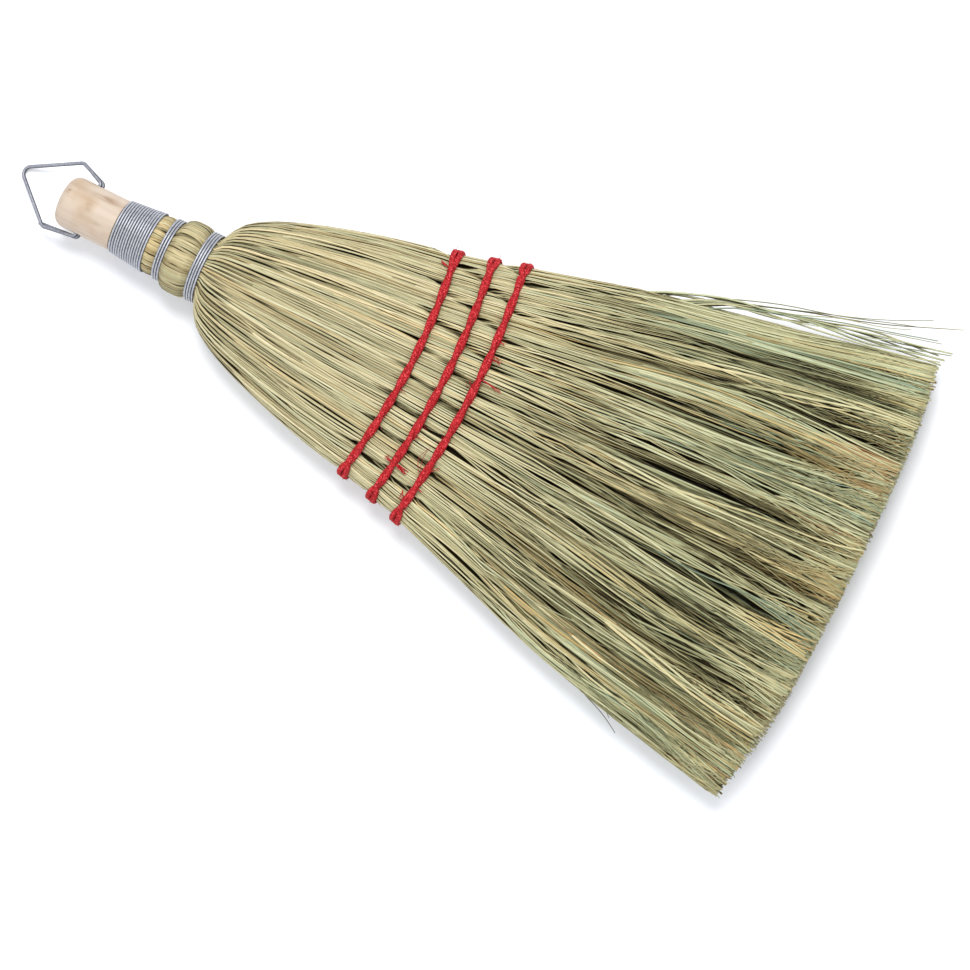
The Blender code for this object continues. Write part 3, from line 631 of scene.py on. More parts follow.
def stitch_pits(x, y):
    """How far stitches draw the corn in at a point, as a share, and how far they part it across, signed.

    Each is a sum of bells, one at each side of each stitch: exp(-(along / reach)^2 - (across / width)^2).
    """
    pull, part = np.zeros_like(x), np.zeros_like(x)
    for row in range(3):
        middle = row_x(row, y)
        for side, skew in ((-1, 0.0), (1, STITCH_SKEW)):
            phase = (y + skew + row * STITCH_SHIFT) / STITCH_SPACING
            across = (phase - np.round(phase)) * STITCH_SPACING
            along = x - middle - side * 2.6 * MM
            outer = 14.0 * MM if row == 2 and side == 1 else 4.5 * MM
            reach = np.where(along * side > 0, outer, 2.2 * MM)
            bell = np.exp(-((along / reach) ** 2))
            pull += bell * np.exp(-((across / (0.80 * MM)) ** 2))
            part += bell * np.exp(-((across / (1.8 * MM)) ** 2)) * np.tanh(across / (0.4 * MM))
    return np.minimum(pull, 1.0), np.clip(part, -1.0, 1.0)


def stalk_layout(random, count, share_range):
    """Evenly spread shares with a little jitter, and a layer for each stalk, 0 at the surface."""
    low, high = share_range
    share = low + (np.arange(count) + 0.5 + random.uniform(-0.3, 0.3, count)) / count * (high - low)
    return share, np.arange(count) % 4


def neck_stalks(random, share_range):
    """The butts of the stalks, from the winding over the strip and the bulge to under the shoulder band.

    A stalk keeps its share of the way round, but for a sway of two sines. Its radius goes with the neck's
    length round, and its depth is a share of its radius plus its layer's own. Painted shade darkens the
    lower layers and the tied places by the bands, and less of it falls on the strip before the neck band.
    """
    count = int(round(NECK_STALKS * (share_range[1] - share_range[0])))
    share, layer = stalk_layout(random, count, share_range)
    layer = layer % 2
    butts = [CORN_START - 0.2 * MM, CORN_START + 6.0 * MM, WINDING_END - 1.0 * MM]
    strip = [(WINDING_END + NECK_START) / 2, NECK_START + 0.5 * MM]
    rise = NECK_END + np.array([-0.5, 1.6, 3.2, 5.2]) * MM
    crest = [(NECK_END + BAND_START) / 2]
    fall = BAND_START + np.array([-4.8, -3.0, -1.4, 0.5]) * MM
    places = np.concatenate([butts, strip, rise, crest, fall, [BAND_END - 1.0 * MM]])
    x = np.repeat(places[None, :], count, axis=0)
    x[:, 0] -= random.uniform(0, 0.7, count) * MM
    sway = waves(random, count, x, (34 * MM, 16 * MM), (0.30 * MM, 0.14 * MM))
    shares = share[:, None] + sway / perimeter(x)
    radius = random.uniform(0.60, 1.15, count)[:, None] * MM * (perimeter(x) / perimeter(BAND_START)) ** 0.8
    lift = waves(random, count, x, (40 * MM,), (0.10 * MM,))
    depth = 0.40 * radius + layer[:, None] * 0.45 * MM + lift
    points, normals = on_corn(x, shares, depth)
    tied = smooth_step(NECK_END + 4 * MM, NECK_END, x) * (x > NECK_START)
    tied = tied + smooth_step(BAND_START - 4 * MM, BAND_START, x)
    before_neck = smooth_step(NECK_START + 1 * MM, NECK_START - 1 * MM, x)
    # Painted shade: lower layers and the places beside the bands are darker, the strip before the neck band
    # less so
    tone = random.normal(0.68, 0.06, count)[:, None] - 0.24 * layer[:, None] - 0.10 * tied
    tone = tone + before_neck * (0.04 + 0.14 * layer[:, None])
    warm = np.clip(random.normal(0.50, 0.09, count), 0, 1)[:, None]
    warmth = warm * (1 - 0.22 * smooth_step(NECK_START, NECK_END + 4 * MM, x))
    return strands(points, normals, radius, FLAT_SECTION, tone, warmth, np.zeros(count))


def head_stations(first, rows, reach):
    """Places along each head stalk: closest where the fan opens, five at each row and five beyond them."""
    shares = np.linspace(0, 1, 20)[:-1] ** 1.5
    parts = [first + (rows[0] - 7 * MM - first) * shares]
    parts += [row + np.array([-5.0, -2.2, 0.0, 2.2, 5.0]) * MM for row in rows]
    parts.append(rows[2] + 5 * MM + reach * np.array([0.12, 0.30, 0.55, 0.80, 1.0]))
    return np.concatenate(parts, axis=1)


def head_stalks(random, share_range, kind):
    """The stalks that fan out, through the stitching, into the sweep.

    Layers that lie one under another at the band rise to the surface as the fan opens, each at its own
    place, and every stitch draws them in and parts them. Painted shade darkens the deeper stalks, the
    stitches' pits and the sides of the rows.
    """
    count = int(round(kind["count"] * (share_range[1] - share_range[0])))
    share, layer = stalk_layout(random, count, share_range)
    layer = layer[:, None] + kind["layer"]
    root, _ = on_corn(np.full(count, ROW_X[1]), share, np.zeros(count))
    rows = [row_x(row, root[:, 1])[:, None] for row in range(3)]
    first = BAND_END + random.uniform(*kind["start"], count)[:, None] * MM
    x = head_stations(first, rows, random.uniform(70, 165, count)[:, None] * MM)
    opening = BAND_END + random.uniform(3, 26, count)[:, None] * MM * (layer + 0.4) / 2
    opening = np.maximum(opening, first)
    rise = smooth_step(opening - 3 * MM, opening + 14 * MM, x)
    radius = random.uniform(*kind["radius"], count)[:, None] * MM
    radius = radius * (1.08 - kind["narrowing"] * smooth_step(BAND_END, ROW_X[0], x))
    radius = radius * (1 - 0.65 * smooth_step(rows[2] + 10 * MM, x[:, -1:], x))
    emerging = kind["layer"] * (1 - smooth_step(first, first + 18 * MM, x))
    radius = radius * (1 - 0.8 * emerging)
    free = smooth_step(ROW_X[2] + 2 * MM, ROW_X[2] + 90 * MM, x)
    sway = waves(random, count, x, (110 * MM, 50 * MM), (0.60 * MM, 0.20 * MM)) * (0.6 + 2.4 * free)
    shares = share[:, None] + sway / perimeter(x)
    lift = waves(random, count, x, (70 * MM, 30 * MM), (0.20 * MM, 0.06 * MM))
    depth = 0.75 * radius + (1 - rise) * layer * 0.95 * MM + np.abs(lift) + 2.5 * MM * emerging
    depth = depth + rise * (layer % 2) * 0.35 * MM + groove(x, shares)
    depth = depth + free * random.uniform(0, 2.2, count)[:, None] * MM
    depth = depth + 2.0 * MM * smooth_step(x[:, -3:-2], x[:, -1:], x)
    points, _ = on_corn(x, shares, depth)
    pull, part = stitch_pits(x, points[:, :, 1])
    tied = sum(np.exp(-(((x - row_x(row, points[:, :, 1])) / (3 * MM)) ** 2)) for row in range(3))
    facing = np.where(np.mod(shares, 1.0) < 0.5, -1.0, 1.0)
    shares = shares + facing * part * 0.50 * MM / perimeter(x)
    points, normals = on_corn(x, shares, depth + 1.9 * MM * pull + 0.45 * MM * tied)
    tuck_edge(points)
    # Painted shade by depth, in the stitches' pits and beside the rows, less of it towards the last row
    tone = random.normal(0.86, 0.10, count)[:, None] - 0.13 * depth / MM - 0.50 * pull - 0.12 * tied
    tone = tone + 0.12 * smooth_step(BAND_END + 30 * MM, ROW_X[2], x)
    warmth = np.clip(random.normal(0.35, 0.07, count) + 0.28 * (random.random(count) < 0.04), 0.05, 1)
    return strands(points, normals, radius, STALK_SECTION, tone, warmth, smooth_step(BAND_END, SWEEP_X, x))


def group_values(random, group, size):
    """One random value for each group of strands, looked up by each strand's group number."""
    group = group.astype(int) - int(group.min())
    return size * random.normal(0, 1, group.max() + 1)[group]


def group_sway(random, group, x, length, size):
    """A sideways run that a whole group of strands shares: one sine of a given wave length and size."""
    height = group_values(random, group, size)[:, None]
    return height * np.sin(math.tau * x / length + group_values(random, group, 3.0)[:, None])


def rib_groups(share):
    """For shares round the sweep: the rib each strand is in, the share at that rib's crest, and its tuft.

    A tuft is a quarter of a rib, with a middle of its own.
    """
    known = TABLE_PHASE[int((SWEEP_X - TABLE_X[0]) / TABLE_STEP)]
    shares = np.linspace(0, 1, len(known))
    cycle = known[-1]
    phase = np.interp(np.mod(share, 1.0), shares, known)
    turn = share - np.mod(share, 1.0)
    rib = np.round(phase)
    crest = np.interp(rib, known + np.linspace(0, 1e-6, len(known)), shares) + turn
    tuft = np.floor(phase * 4)
    tuft_middle = np.interp(tuft / 4 + 0.125, known + np.linspace(0, 1e-6, len(known)), shares) + turn
    return rib + turn * cycle, crest, tuft + 4 * turn * cycle, tuft_middle


def tip_glow(x):
    """How much lighter the corn is near its trimmed tips: partly paler corn, partly painted light on the
    ends that the lamps reach little.
    """
    wide = smooth_step(SWEEP_X - 50 * MM, SWEEP_X - 8 * MM, x)
    return 0.30 * wide + 0.30 * smooth_step(SWEEP_X - 18 * MM, SWEEP_X - 4 * MM, x)


def tuck_edge(points):
    """Draws the fibres of the +Y edge inwards, which leaves room for the strays that lie off it."""
    x, y = points[:, :, 0], points[:, :, 1]
    outer = smooth_step(0.68, 1.0, y / half_width(x))
    points[:, :, 1] = y - outer * through(*EDGE_TUCK, x - ROW_X[2])


def sweep_fibres(random, share_range, count, kind):
    """Free fibres of the sweep, all of one kind.

    Each starts inside the stitched head and runs to the trimmed end. It sways with its rib, with its tuft
    and by itself, but less at the broom's two edges. Tufts draw together here and there, which leaves dark
    gaps. Deeper fibres get painted shade, and near the tips painted light lifts them, so that a fibre's own
    end is never dark.
    """
    share = random.uniform(*share_range, count)
    rib, crest, tuft, tuft_middle = rib_groups(share)
    start = ROW_X[2] + random.uniform(*kind["start"], count) * MM
    t = np.linspace(0, 1, kind["steps"]) ** 0.9
    tip_point, _ = on_corn(np.full(count, SWEEP_X), share, np.zeros(count))
    tip = sweep_end(tip_point[:, 1], tip_point[:, 2]) - random.exponential(kind["short"], count) * MM
    tip -= np.abs(group_values(random, tuft, 0.5 * MM))
    start = np.minimum(start, tip - 25 * MM)
    x = start[:, None] + (tip - start)[:, None] * t
    free = smooth_step(ROW_X[2], SWEEP_X - 60 * MM, x)
    late = smooth_step(SWEEP_X - 110 * MM, SWEEP_X, x)
    around = perimeter(x)

    calm = 1 - 0.6 * smooth_step(0.88, 0.99, np.abs(np.cos(math.tau * share)))[:, None]
    gather = 0.06 + 0.10 * np.sin(math.tau * x / (230 * MM) + group_values(random, rib, 2.0)[:, None])
    tighten = 0.16 + 0.36 * np.sin(math.tau * x / (120 * MM) + group_values(random, tuft, 2.0)[:, None])
    shares = share[:, None] - free * gather * (share - crest)[:, None]
    shares = shares - free * calm * tighten * (share - tuft_middle)[:, None]
    sway = group_sway(random, rib, x, 260 * MM, 1.6 * MM) + group_sway(random, tuft, x, 150 * MM, 1.0 * MM)
    own = waves(random, count, x, (190 * MM, 80 * MM), (1.3 * MM, 0.55 * MM)) * (0.6 + 0.7 * late)
    frizz = kind["frizz"] * MM
    crinkle = waves(random, count, x, (17 * MM, 11 * MM), (frizz, 0.4 * frizz)) * late
    lean = random.normal(0, kind["lean"], count) * MM * (1 + 2.0 * (random.random(count) < 0.18))
    lean = lean[:, None] * t**1.5
    shares = shares + (free * calm * (sway + own) + crinkle + lean) / around

    base = random.uniform(*kind["depth"], count)[:, None] * MM
    sunk = np.abs(group_values(random, rib, 0.4 * MM) + group_values(random, tuft, 0.8 * MM))[:, None]
    ripple = waves(random, count, x, (170 * MM, 75 * MM), (0.50 * MM, 0.20 * MM))
    radius = random.uniform(*kind["radius"], count)[:, None] * MM * (0.15 + 0.85 * smooth_step(0.0, 0.12, t))
    radius = radius * (1.1 - kind["taper"] * smooth_step(0.3, 1.0, t))
    depth = radius + base + free * (sunk + np.abs(ripple)) + (1 - smooth_step(0.0, 0.3, t)) * 3.5 * MM
    depth = depth + 0.8 * groove(x, shares)
    points, normals = on_corn(x, shares, depth)
    tuck_edge(points)
    tone = random.normal(kind["tone"], 0.11, count)
    tone = tone + group_values(random, rib, 0.03) + group_values(random, tuft, 0.06)
    tone = tone + 0.10 * np.minimum(np.cos(math.tau * share), 0.0)
    # Painted shade by depth under the surface, and painted light near the trimmed tips
    tone = tone[:, None] + 0.03 - 0.19 * (depth - radius) / MM + tip_glow(x)
    # Painted light: no fibre is dark at its own end
    tone = np.maximum(tone, 0.66 * (1 - smooth_step(3 * MM, 14 * MM, tip[:, None] - x)))
    warm = 0.29 + group_values(random, rib, 0.06) + group_values(random, tuft, 0.09)
    warm = warm + random.normal(0, 0.06, count) + 0.45 * (random.random(count) < 0.02)
    tan = np.maximum(group_values(random, tuft, 0.48), 0) * random.uniform(0.4, 1, count)
    warmth = np.clip(warm[:, None] + late**3 * tan[:, None], 0.04, 1)
    along = smooth_step(BAND_END, SWEEP_X, x)
    return strands(points, normals, radius, kind["section"], tone, warmth, along)


def stray_fibres(random):
    """Fibres that lie clear of the sweep's +Y edge, and a few hairs off its -Y edge."""
    rows = []
    for count, share, reach, radius_range, start_range, tip_range, tone in STRAY_GROUPS:
        t = np.linspace(0, 1, 20)
        start = ROW_X[2] + random.uniform(*start_range, count) * MM
        tip = SWEEP_X - random.uniform(*tip_range, count) * MM
        x = start[:, None] + (tip - start)[:, None] * t
        shares = np.full((count, 1), share) + random.normal(0, 0.008, (count, 1)) + 0 * t
        out = random.uniform(*reach, count)[:, None] * MM
        bend = waves(random, count, x, (150 * MM, 55 * MM), (1.4 * MM, 0.50 * MM)) * smooth_step(0.0, 0.6, t)
        bend = bend + t**1.7 * out - (1 - smooth_step(0.0, 0.25, t)) * 5 * MM - (1 - t) * 1.8 * MM
        radius = random.uniform(*radius_range, count)[:, None] * MM * (1.10 - 0.4 * t)
        points, normals = on_corn(x, shares, 0.6 * MM - bend)
        points[:, :, 2] += random.uniform(-7, 5, count)[:, None] * MM * smooth_step(0.1, 1.0, t)
        normals = normals + np.array([0.0, 0.0, 1.0])
        tones = random.normal(tone, 0.12, count)
        warmth = np.clip(random.normal(0.24, 0.08, count), 0.02, 1)
        along = smooth_step(BAND_END, SWEEP_X, x)
        rows.append(strands(points, normals, radius, STALK_SECTION, tones, warmth, along))
    return join(rows)


def core_surface():
    """The dense inside of the corn, as one closed skin drawn in under the stalks, dark with painted shade.

    P(u, v) is the corn's section at x(u), drawn in by a depth that grows towards the sweep, at share v. Both
    ends close in a fan to one point.
    """
    neck_x = np.arange(CORN_START + 2 * MM, BAND_END + 30 * MM, 2 * MM)
    head_x = np.arange(BAND_END + 30 * MM, SWEEP_X - 38 * MM, 6 * MM)
    x = np.concatenate([neck_x, head_x])
    share = np.arange(120) / 120
    grid_x, grid_share = np.meshgrid(x, share, indexing="ij")
    depth = 2.2 * MM + 1.6 * MM * smooth_step(BAND_END, ROW_X[0], grid_x)
    depth = depth + 4.0 * MM * smooth_step(ROW_X[2], SWEEP_X - 40 * MM, grid_x)
    ridge = 0.35 * MM * np.sin(math.tau * grid_share * 60) + 1.2 * groove(grid_x, grid_share)
    points, _ = on_corn(grid_x, grid_share, depth + ridge)
    tuck_edge(points)
    points, faces = closed_skin(points, [points[0].mean(axis=0), points[-1].mean(axis=0)])
    attributes = {
        # Painted shade: a low tone all over the core
        "tone": np.append(0.12 + 0.05 * np.sin(math.tau * grid_share * 41), [0.1, 0.1]),
        "warmth": np.full(len(points), 0.5),
        "along": np.append(smooth_step(BAND_END, SWEEP_X, grid_x), [0.0, 1.0]),
    }
    return points, faces, attributes


def inner_fibres(random, count):
    """The strands inside the sweep, seen at its end: straight but for slow waves, and dark with painted
    shade up to their tips, where painted light lifts them.

    Each is drawn in from the surface by its own share of the way to the middle.
    """
    share = random.uniform(0, 1, count)
    inward = random.uniform(0.0, 1, count) ** 1.15
    start = SWEEP_X - random.uniform(60, 110, count) * MM
    t = np.linspace(0, 1, 6)
    tip_point, _ = on_corn(np.full(count, SWEEP_X), share, np.zeros(count))
    reach = half_height(SWEEP_X) - INNER_DEPTH
    tip_z = AXIS_Z + (tip_point[:, 2] - AXIS_Z) * (1 - inward)
    tip = sweep_end(tip_point[:, 1] * (1 - inward), tip_z) - random.exponential(1.2 * MM, count)
    x = start[:, None] + (tip - start)[:, None] * t
    depth = (INNER_DEPTH + inward * reach * 0.94)[:, None]
    depth = depth + waves(random, count, x, (120 * MM,), (0.4 * MM,))
    points, normals = on_corn(x, share[:, None] + 0 * t, depth)
    squeeze = (1 - inward[:, None]) / np.maximum(1 - depth / half_width(x), 0.05)
    points[:, :, 1] *= np.clip(squeeze, 0.0, 1.0) * 0.5 + 0.5
    points[:, :, 1] += waves(random, count, x, (130 * MM, 50 * MM), (1.2 * MM, 0.5 * MM))
    tuck_edge(points)
    radius = random.uniform(0.28, 0.55, count)[:, None] * MM * (1.1 - 0.5 * t)
    lit = smooth_step(SWEEP_X - 20 * MM, SWEEP_X - 2 * MM, x)
    # Painted shade inside the sweep, lifted by painted light near the tips
    tone = random.normal(0.15, 0.12, count)[:, None] + 0.85 * lit
    warmth = np.clip(random.normal(0.42, 0.12, count), 0, 1)
    return strands(points, normals, radius, THIN_SECTION, tone, warmth, smooth_step(BAND_END, SWEEP_X, x))


# Wire and twine


def helix(start, end, turns, clearance, random):
    """A wire's path round the corn: x grows by one pitch a turn and wanders a little as a product of sines.

    Its distance from the axis follows the corn's surface, with both ends tucked into the corn.
    """
    steps = int(turns * 56) + 1
    turn = np.linspace(0, turns, steps)
    pitch = (end - start - 2 * clearance) / turns
    x = start + clearance + pitch * turn
    x = x + WINDING_WANDER * np.sin(math.tau * turn * 0.93 + random.uniform(0, 6)) * np.sin(turn * 1.7)
    share = np.mod(turn + 0.70, 1.0)
    tuck = 1 - smooth_step(0.0, 0.10, turn) + smooth_step(turns - 0.10, turns, turn)
    depth = 1.6 * MM * tuck - clearance
    points, normals = on_corn(x, share, depth)
    return points[None], normals[None]


def turned(profile, sides):
    """A profile of (x, radius) turned about the broom's axis; its first and last point lie on the axis."""
    x, radius = np.array(profile).T[:, :, None]
    angle = np.arange(sides) / sides * math.tau
    points = np.stack([x + 0 * angle, radius * np.cos(angle), AXIS_Z + radius * np.sin(angle)], axis=-1)
    return closed_skin(points[1:-1], points[[0, -1], 0])


def grip_profile():
    """(x, radius) of the grip: a flat face, a quarter circle, the bare length and the hidden stub."""
    angle = np.linspace(0, math.pi / 2, 14)
    round_x = GRIP_END + GRIP_ROUND * (1 - np.cos(angle))
    round_radius = HANDLE_RADIUS - GRIP_ROUND + GRIP_ROUND * np.sin(angle)
    seat = CORN_START - SEAT_GAP
    face = [(GRIP_END, radius) for radius in (0.0, 2.5 * MM, 5.0 * MM)]
    bare = [(x, HANDLE_RADIUS) for x in np.linspace(GRIP_END + 6 * MM, seat, 20)]
    stub = zip((seat, CORN_START + STUB_BEND, BAND_END, BAND_END), (*STUB_RADII, 0.0))
    return [*face, *zip(round_x, round_radius), *bare, *stub]


def rounded_path(corners, radii, steps):
    """A plane path through corners, with an arc of the given radius at each inner one."""
    points = [corners[:1]]
    for before, corner, after, radius in zip(corners, corners[1:], corners[2:], radii):
        back, ahead = unit(before - corner), unit(after - corner)
        half = math.acos(float(np.clip(back @ ahead, -1, 1))) / 2
        start, end = corner + back * radius / math.tan(half), corner + ahead * radius / math.tan(half)
        centre = corner + unit(back + ahead) * radius / math.sin(half)
        sweep = math.pi - 2 * half
        t = np.linspace(0, 1, steps)[:, None]
        arc = np.sin((1 - t) * sweep) * (start - centre) + np.sin(t * sweep) * (end - centre)
        points.append(centre + arc / math.sin(sweep))
    return np.concatenate([*points, corners[-1:]])


def resampled(points, spacing):
    """The same path with points at an even spacing."""
    along = np.concatenate([[0], np.cumsum(np.linalg.norm(np.diff(points, axis=0), axis=1))])
    at = np.linspace(0, along[-1], max(2, int(along[-1] / spacing)))
    return np.stack([np.interp(at, along, points[:, k]) for k in range(points.shape[1])], axis=1)


def loop_path():
    """The hanging loop's wire: one pass through the hole under the other, and all of it drooped.

    The wire climbs from the lower to the upper pass between the short leg's corner and the apex, and the
    loop droops round its pivot until it is just above the ground.
    """
    side = HANDLE_RADIUS + LOOP_SIDE_GAP + LOOP_WIRE / 2
    table = np.array(LOOP_CORNERS)
    corners = np.column_stack([table[:, 0] * MM, table[:, 1] * side + table[:, 2] * MM])
    plane = rounded_path(corners, table[1:-1, 3] * MM, LOOP_ARC_POINTS)
    along = np.concatenate([[0], np.cumsum(np.linalg.norm(np.diff(plane, axis=0), axis=1))])
    corner_end = SHORT_CORNER * LOOP_ARC_POINTS
    climb = np.interp(along, along[[corner_end, corner_end + 1]], (-0.5, 0.5)) * LOOP_PASS_SPACING
    x, y, z = resampled(np.column_stack([plane, climb]), 0.6 * MM).T
    fall = AXIS_Z - LOOP_WIRE / 2 - LOOP_GROUND_GAP
    far = np.hypot(x, z) > fall
    droop = float(np.min(np.arcsin(fall / np.hypot(x, z)[far]) + np.arctan2(z[far], -x[far])))
    drooped_x = x * math.cos(droop) - z * math.sin(droop)
    drooped_z = x * math.sin(droop) + z * math.cos(droop)
    points = np.stack([PIVOT[0] + drooped_x, y, AXIS_Z + drooped_z], axis=1)
    normal = np.array([-math.sin(droop), 0, math.cos(droop)])
    return points[None], np.repeat(normal[None, None], len(points), axis=1)


def wire_tube(paths, normals, diameter, sides):
    """A round wire along a path, and how far each of its points faces outwards."""
    section = round_section(sides)
    radii = np.full(paths.shape[:2], diameter / 2)
    return *tubes(paths, radii, section, normals), {"facing": np.tile(section[:, 1], paths.shape[1])}


def twine_pair(row):
    """Two twines round the head that change sides at every stitch.

    Twine A lies at x = row + a cos(pi s) with height b sin(pi s), and twine B opposite, where s counts
    stitches across the head. Round the edges they part into a Y.
    """
    share = np.linspace(0, 1, TWINE_SAMPLES, endpoint=False)
    base, _ = on_corn(np.full(TWINE_SAMPLES, ROW_X[row]), share, np.zeros(TWINE_SAMPLES))
    y = base[:, 1]
    centre = row_x(row, y)
    upper = np.where(share < 0.5, 1.0, -1.0)
    wide = half_width(ROW_X[row])
    edge = smooth_step(wide - 8 * MM, wide - 1.5 * MM, np.abs(y))
    stitches = (y + row * STITCH_SHIFT + 0.25 * STITCH_SPACING) / STITCH_SPACING
    swing, over = np.cos(math.pi * stitches), np.sin(math.pi * stitches)
    pairs = []
    for sign in (1, -1):
        apart = sign * upper * (TWINE_APART * swing * (1 - edge) + 1.5 * MM * edge)
        height = 0.85 * MM + sign * upper * 0.85 * MM * over * (1 - edge)
        pairs.append(on_corn(centre + apart, share, 0.30 * MM - height))
    return pairs


def ply_tubes(points, normals, radius):
    """The plies of a closed twine as tubes wound round its line.

    A ply's path is C(s) + f r (cos(k s + p) N + sin(k s + p) S): C is the twine's line, r its radius, f the
    plies' offset, k the twist, p the ply's own phase, and N and S the outward and sideways directions.
    """
    closed = np.concatenate([points, points[:1]])
    closed_normals = np.concatenate([normals, normals[:1]])
    along = np.concatenate([[0], np.cumsum(np.linalg.norm(np.diff(closed, axis=0), axis=1))])
    total = along[-1]
    turns = round(total / TWIST_LENGTH)
    at = np.linspace(0, total, turns * TWIST_STEPS, endpoint=False)
    line = np.stack([np.interp(at, along, closed[:, k]) for k in range(3)], axis=1)
    out = np.stack([np.interp(at, along, closed_normals[:, k]) for k in range(3)], axis=1)
    normal, side = square_frame(np.roll(line, -1, axis=0) - np.roll(line, 1, axis=0), out)
    angle = math.tau * turns * at / total + np.arange(PLIES)[:, None] * math.tau / PLIES
    shift = np.cos(angle)[..., None] * normal + np.sin(angle)[..., None] * side
    paths = line + PLY_OFFSET * radius * shift
    radii = np.full(angle.shape, radius * PLY_RADIUS)
    normals = np.repeat(normal[None], PLIES, axis=0)
    return tubes(paths, radii, round_section(PLY_SIDES, 0.0), normals, closed=True)


def twine_fuzz(random, lines, count):
    """Short red hairs that stand off a twine: C + l (t W + t^2 B), with way W and bend B drawn at random."""
    line = np.concatenate(lines)
    pick = random.integers(0, len(line), count)
    start = line[pick]
    t = np.linspace(0, 1, 5)
    way = random.normal(0, 1, (count, 3))
    way[:, 2] = np.abs(way[:, 2]) * 0.6
    way = unit(way)
    bend = random.normal(0, 0.7, (count, 3))
    length = random.uniform(0.8, 2.3, count)[:, None, None] * MM
    t = t[:, None]
    paths = start[:, None] + length * (way[:, None] * t + bend[:, None] * t**2)
    radius = np.full((count, 5), 0.075 * MM)
    outward = np.zeros(paths.shape) + (0.0, 0.0, 1.0)
    paths[:, :, 2] = np.maximum(paths[:, :, 2], 0.2 * MM)
    return tubes(paths, radius, round_section(3), outward)


def loose_ends(random, row):
    """Frayed ends of the twine: hairs that leave a row together, each bent by half a sine.

    They lie over the upper face, z = h (1 - |y/w|^n)^(1/n) above the axis.
    """
    ends = LOOSE_ENDS[LOOSE_ENDS[:, 0] == row]
    table = np.repeat(ends, ends[:, 4].astype(int), axis=0) * (1, MM, MM, MM, 1, MM, MM)
    start_y, ahead, across, radius, bend = table[:, [1, 2, 3, 5, 6]].T[:, :, None]
    count, t = len(table), np.linspace(0, 1, 14)
    length = np.hypot(ahead, across)
    size = random.uniform(0.75, 1.1, (count, 1))
    off = bend * random.normal(0.7, 0.6, (count, 1))
    off = off * np.sin(math.pi * t * random.uniform(0.8, 1.6, (count, 1)))
    off = off + length * random.normal(0, 0.10, (count, 1)) * t
    x = row_x(row, start_y) + 1.0 * MM * np.sign(ahead) + size * ahead * t - across / length * off
    y = start_y + size * across * t + ahead / length * off
    wide, high = half_width(x), half_height(x)
    z = AXIS_Z + high * (1 - np.abs(y / wide) ** HEAD_ROUNDNESS) ** (1 / HEAD_ROUNDNESS)
    z = z + (0.5 + 1.1 * np.sin(math.pi * t) * random.uniform(0.2, 1, (count, 1))) * MM
    outward = np.zeros((count, len(t), 3)) + (0.0, 0.0, 1.0)
    return tubes(np.stack([x, y, z], axis=-1), radius * (1 - 0.5 * t), round_section(4), outward)


# Materials


def feed(tree, target, value):
    """Links a socket to an input, or sets the input to a constant."""
    if isinstance(value, bpy.types.NodeSocket):
        tree.links.new(value, target)
    elif target.type == "RGBA":
        target.default_value = (*value[:3], 1.0)
    else:
        target.default_value = value


def add_node(tree, kind, inputs=None, **settings):
    """A node with its settings and inputs; an input is a socket or a plain value."""
    node = tree.nodes.new(kind)
    for key, value in settings.items():
        setattr(node, key, value)
    for key, value in (inputs or {}).items():
        feed(tree, node.inputs[key], value)
    return node


def new_material(name):
    """A material with its node tree."""
    material = bpy.data.materials.new(name)
    material.use_nodes = True
    return material, material.node_tree


def set_surface(tree, inputs, height=None, strength=0.0, distance=0.0):
    """Feeds the Principled shader its inputs and, where a height is given, a bump."""
    shader = tree.nodes["Principled BSDF"]
    for key, value in inputs.items():
        feed(tree, shader.inputs[key], value)
    if height is not None:
        relief = {"Height": height, "Strength": strength, "Distance": distance}
        tree.links.new(add_node(tree, "ShaderNodeBump", relief).outputs[0], shader.inputs["Normal"])


def object_place(tree):
    """The place in the object's own space."""
    return add_node(tree, "ShaderNodeTexCoord").outputs["Object"]


def noise(tree, scale, detail):
    """Soft noise from 0 to 1 in the object's own space."""
    inputs = {"Vector": object_place(tree), "Scale": scale, "Detail": detail}
    return add_node(tree, "ShaderNodeTexNoise", inputs).outputs["Fac"]


def attribute(tree, name):
    """A value that the mesh carries for each of its points."""
    return add_node(tree, "ShaderNodeAttribute", attribute_name=name).outputs["Fac"]


def colour_ramp(tree, factor, stops):
    """A colour ramp through (place, colour) stops."""
    node = add_node(tree, "ShaderNodeValToRGB", {0: factor})
    while len(node.color_ramp.elements) < len(stops):
        node.color_ramp.elements.new(0.5)
    for element, (place, colour) in zip(node.color_ramp.elements, stops):
        element.position = place
        element.color = (*colour[:3], 1.0)
    return node.outputs[0]


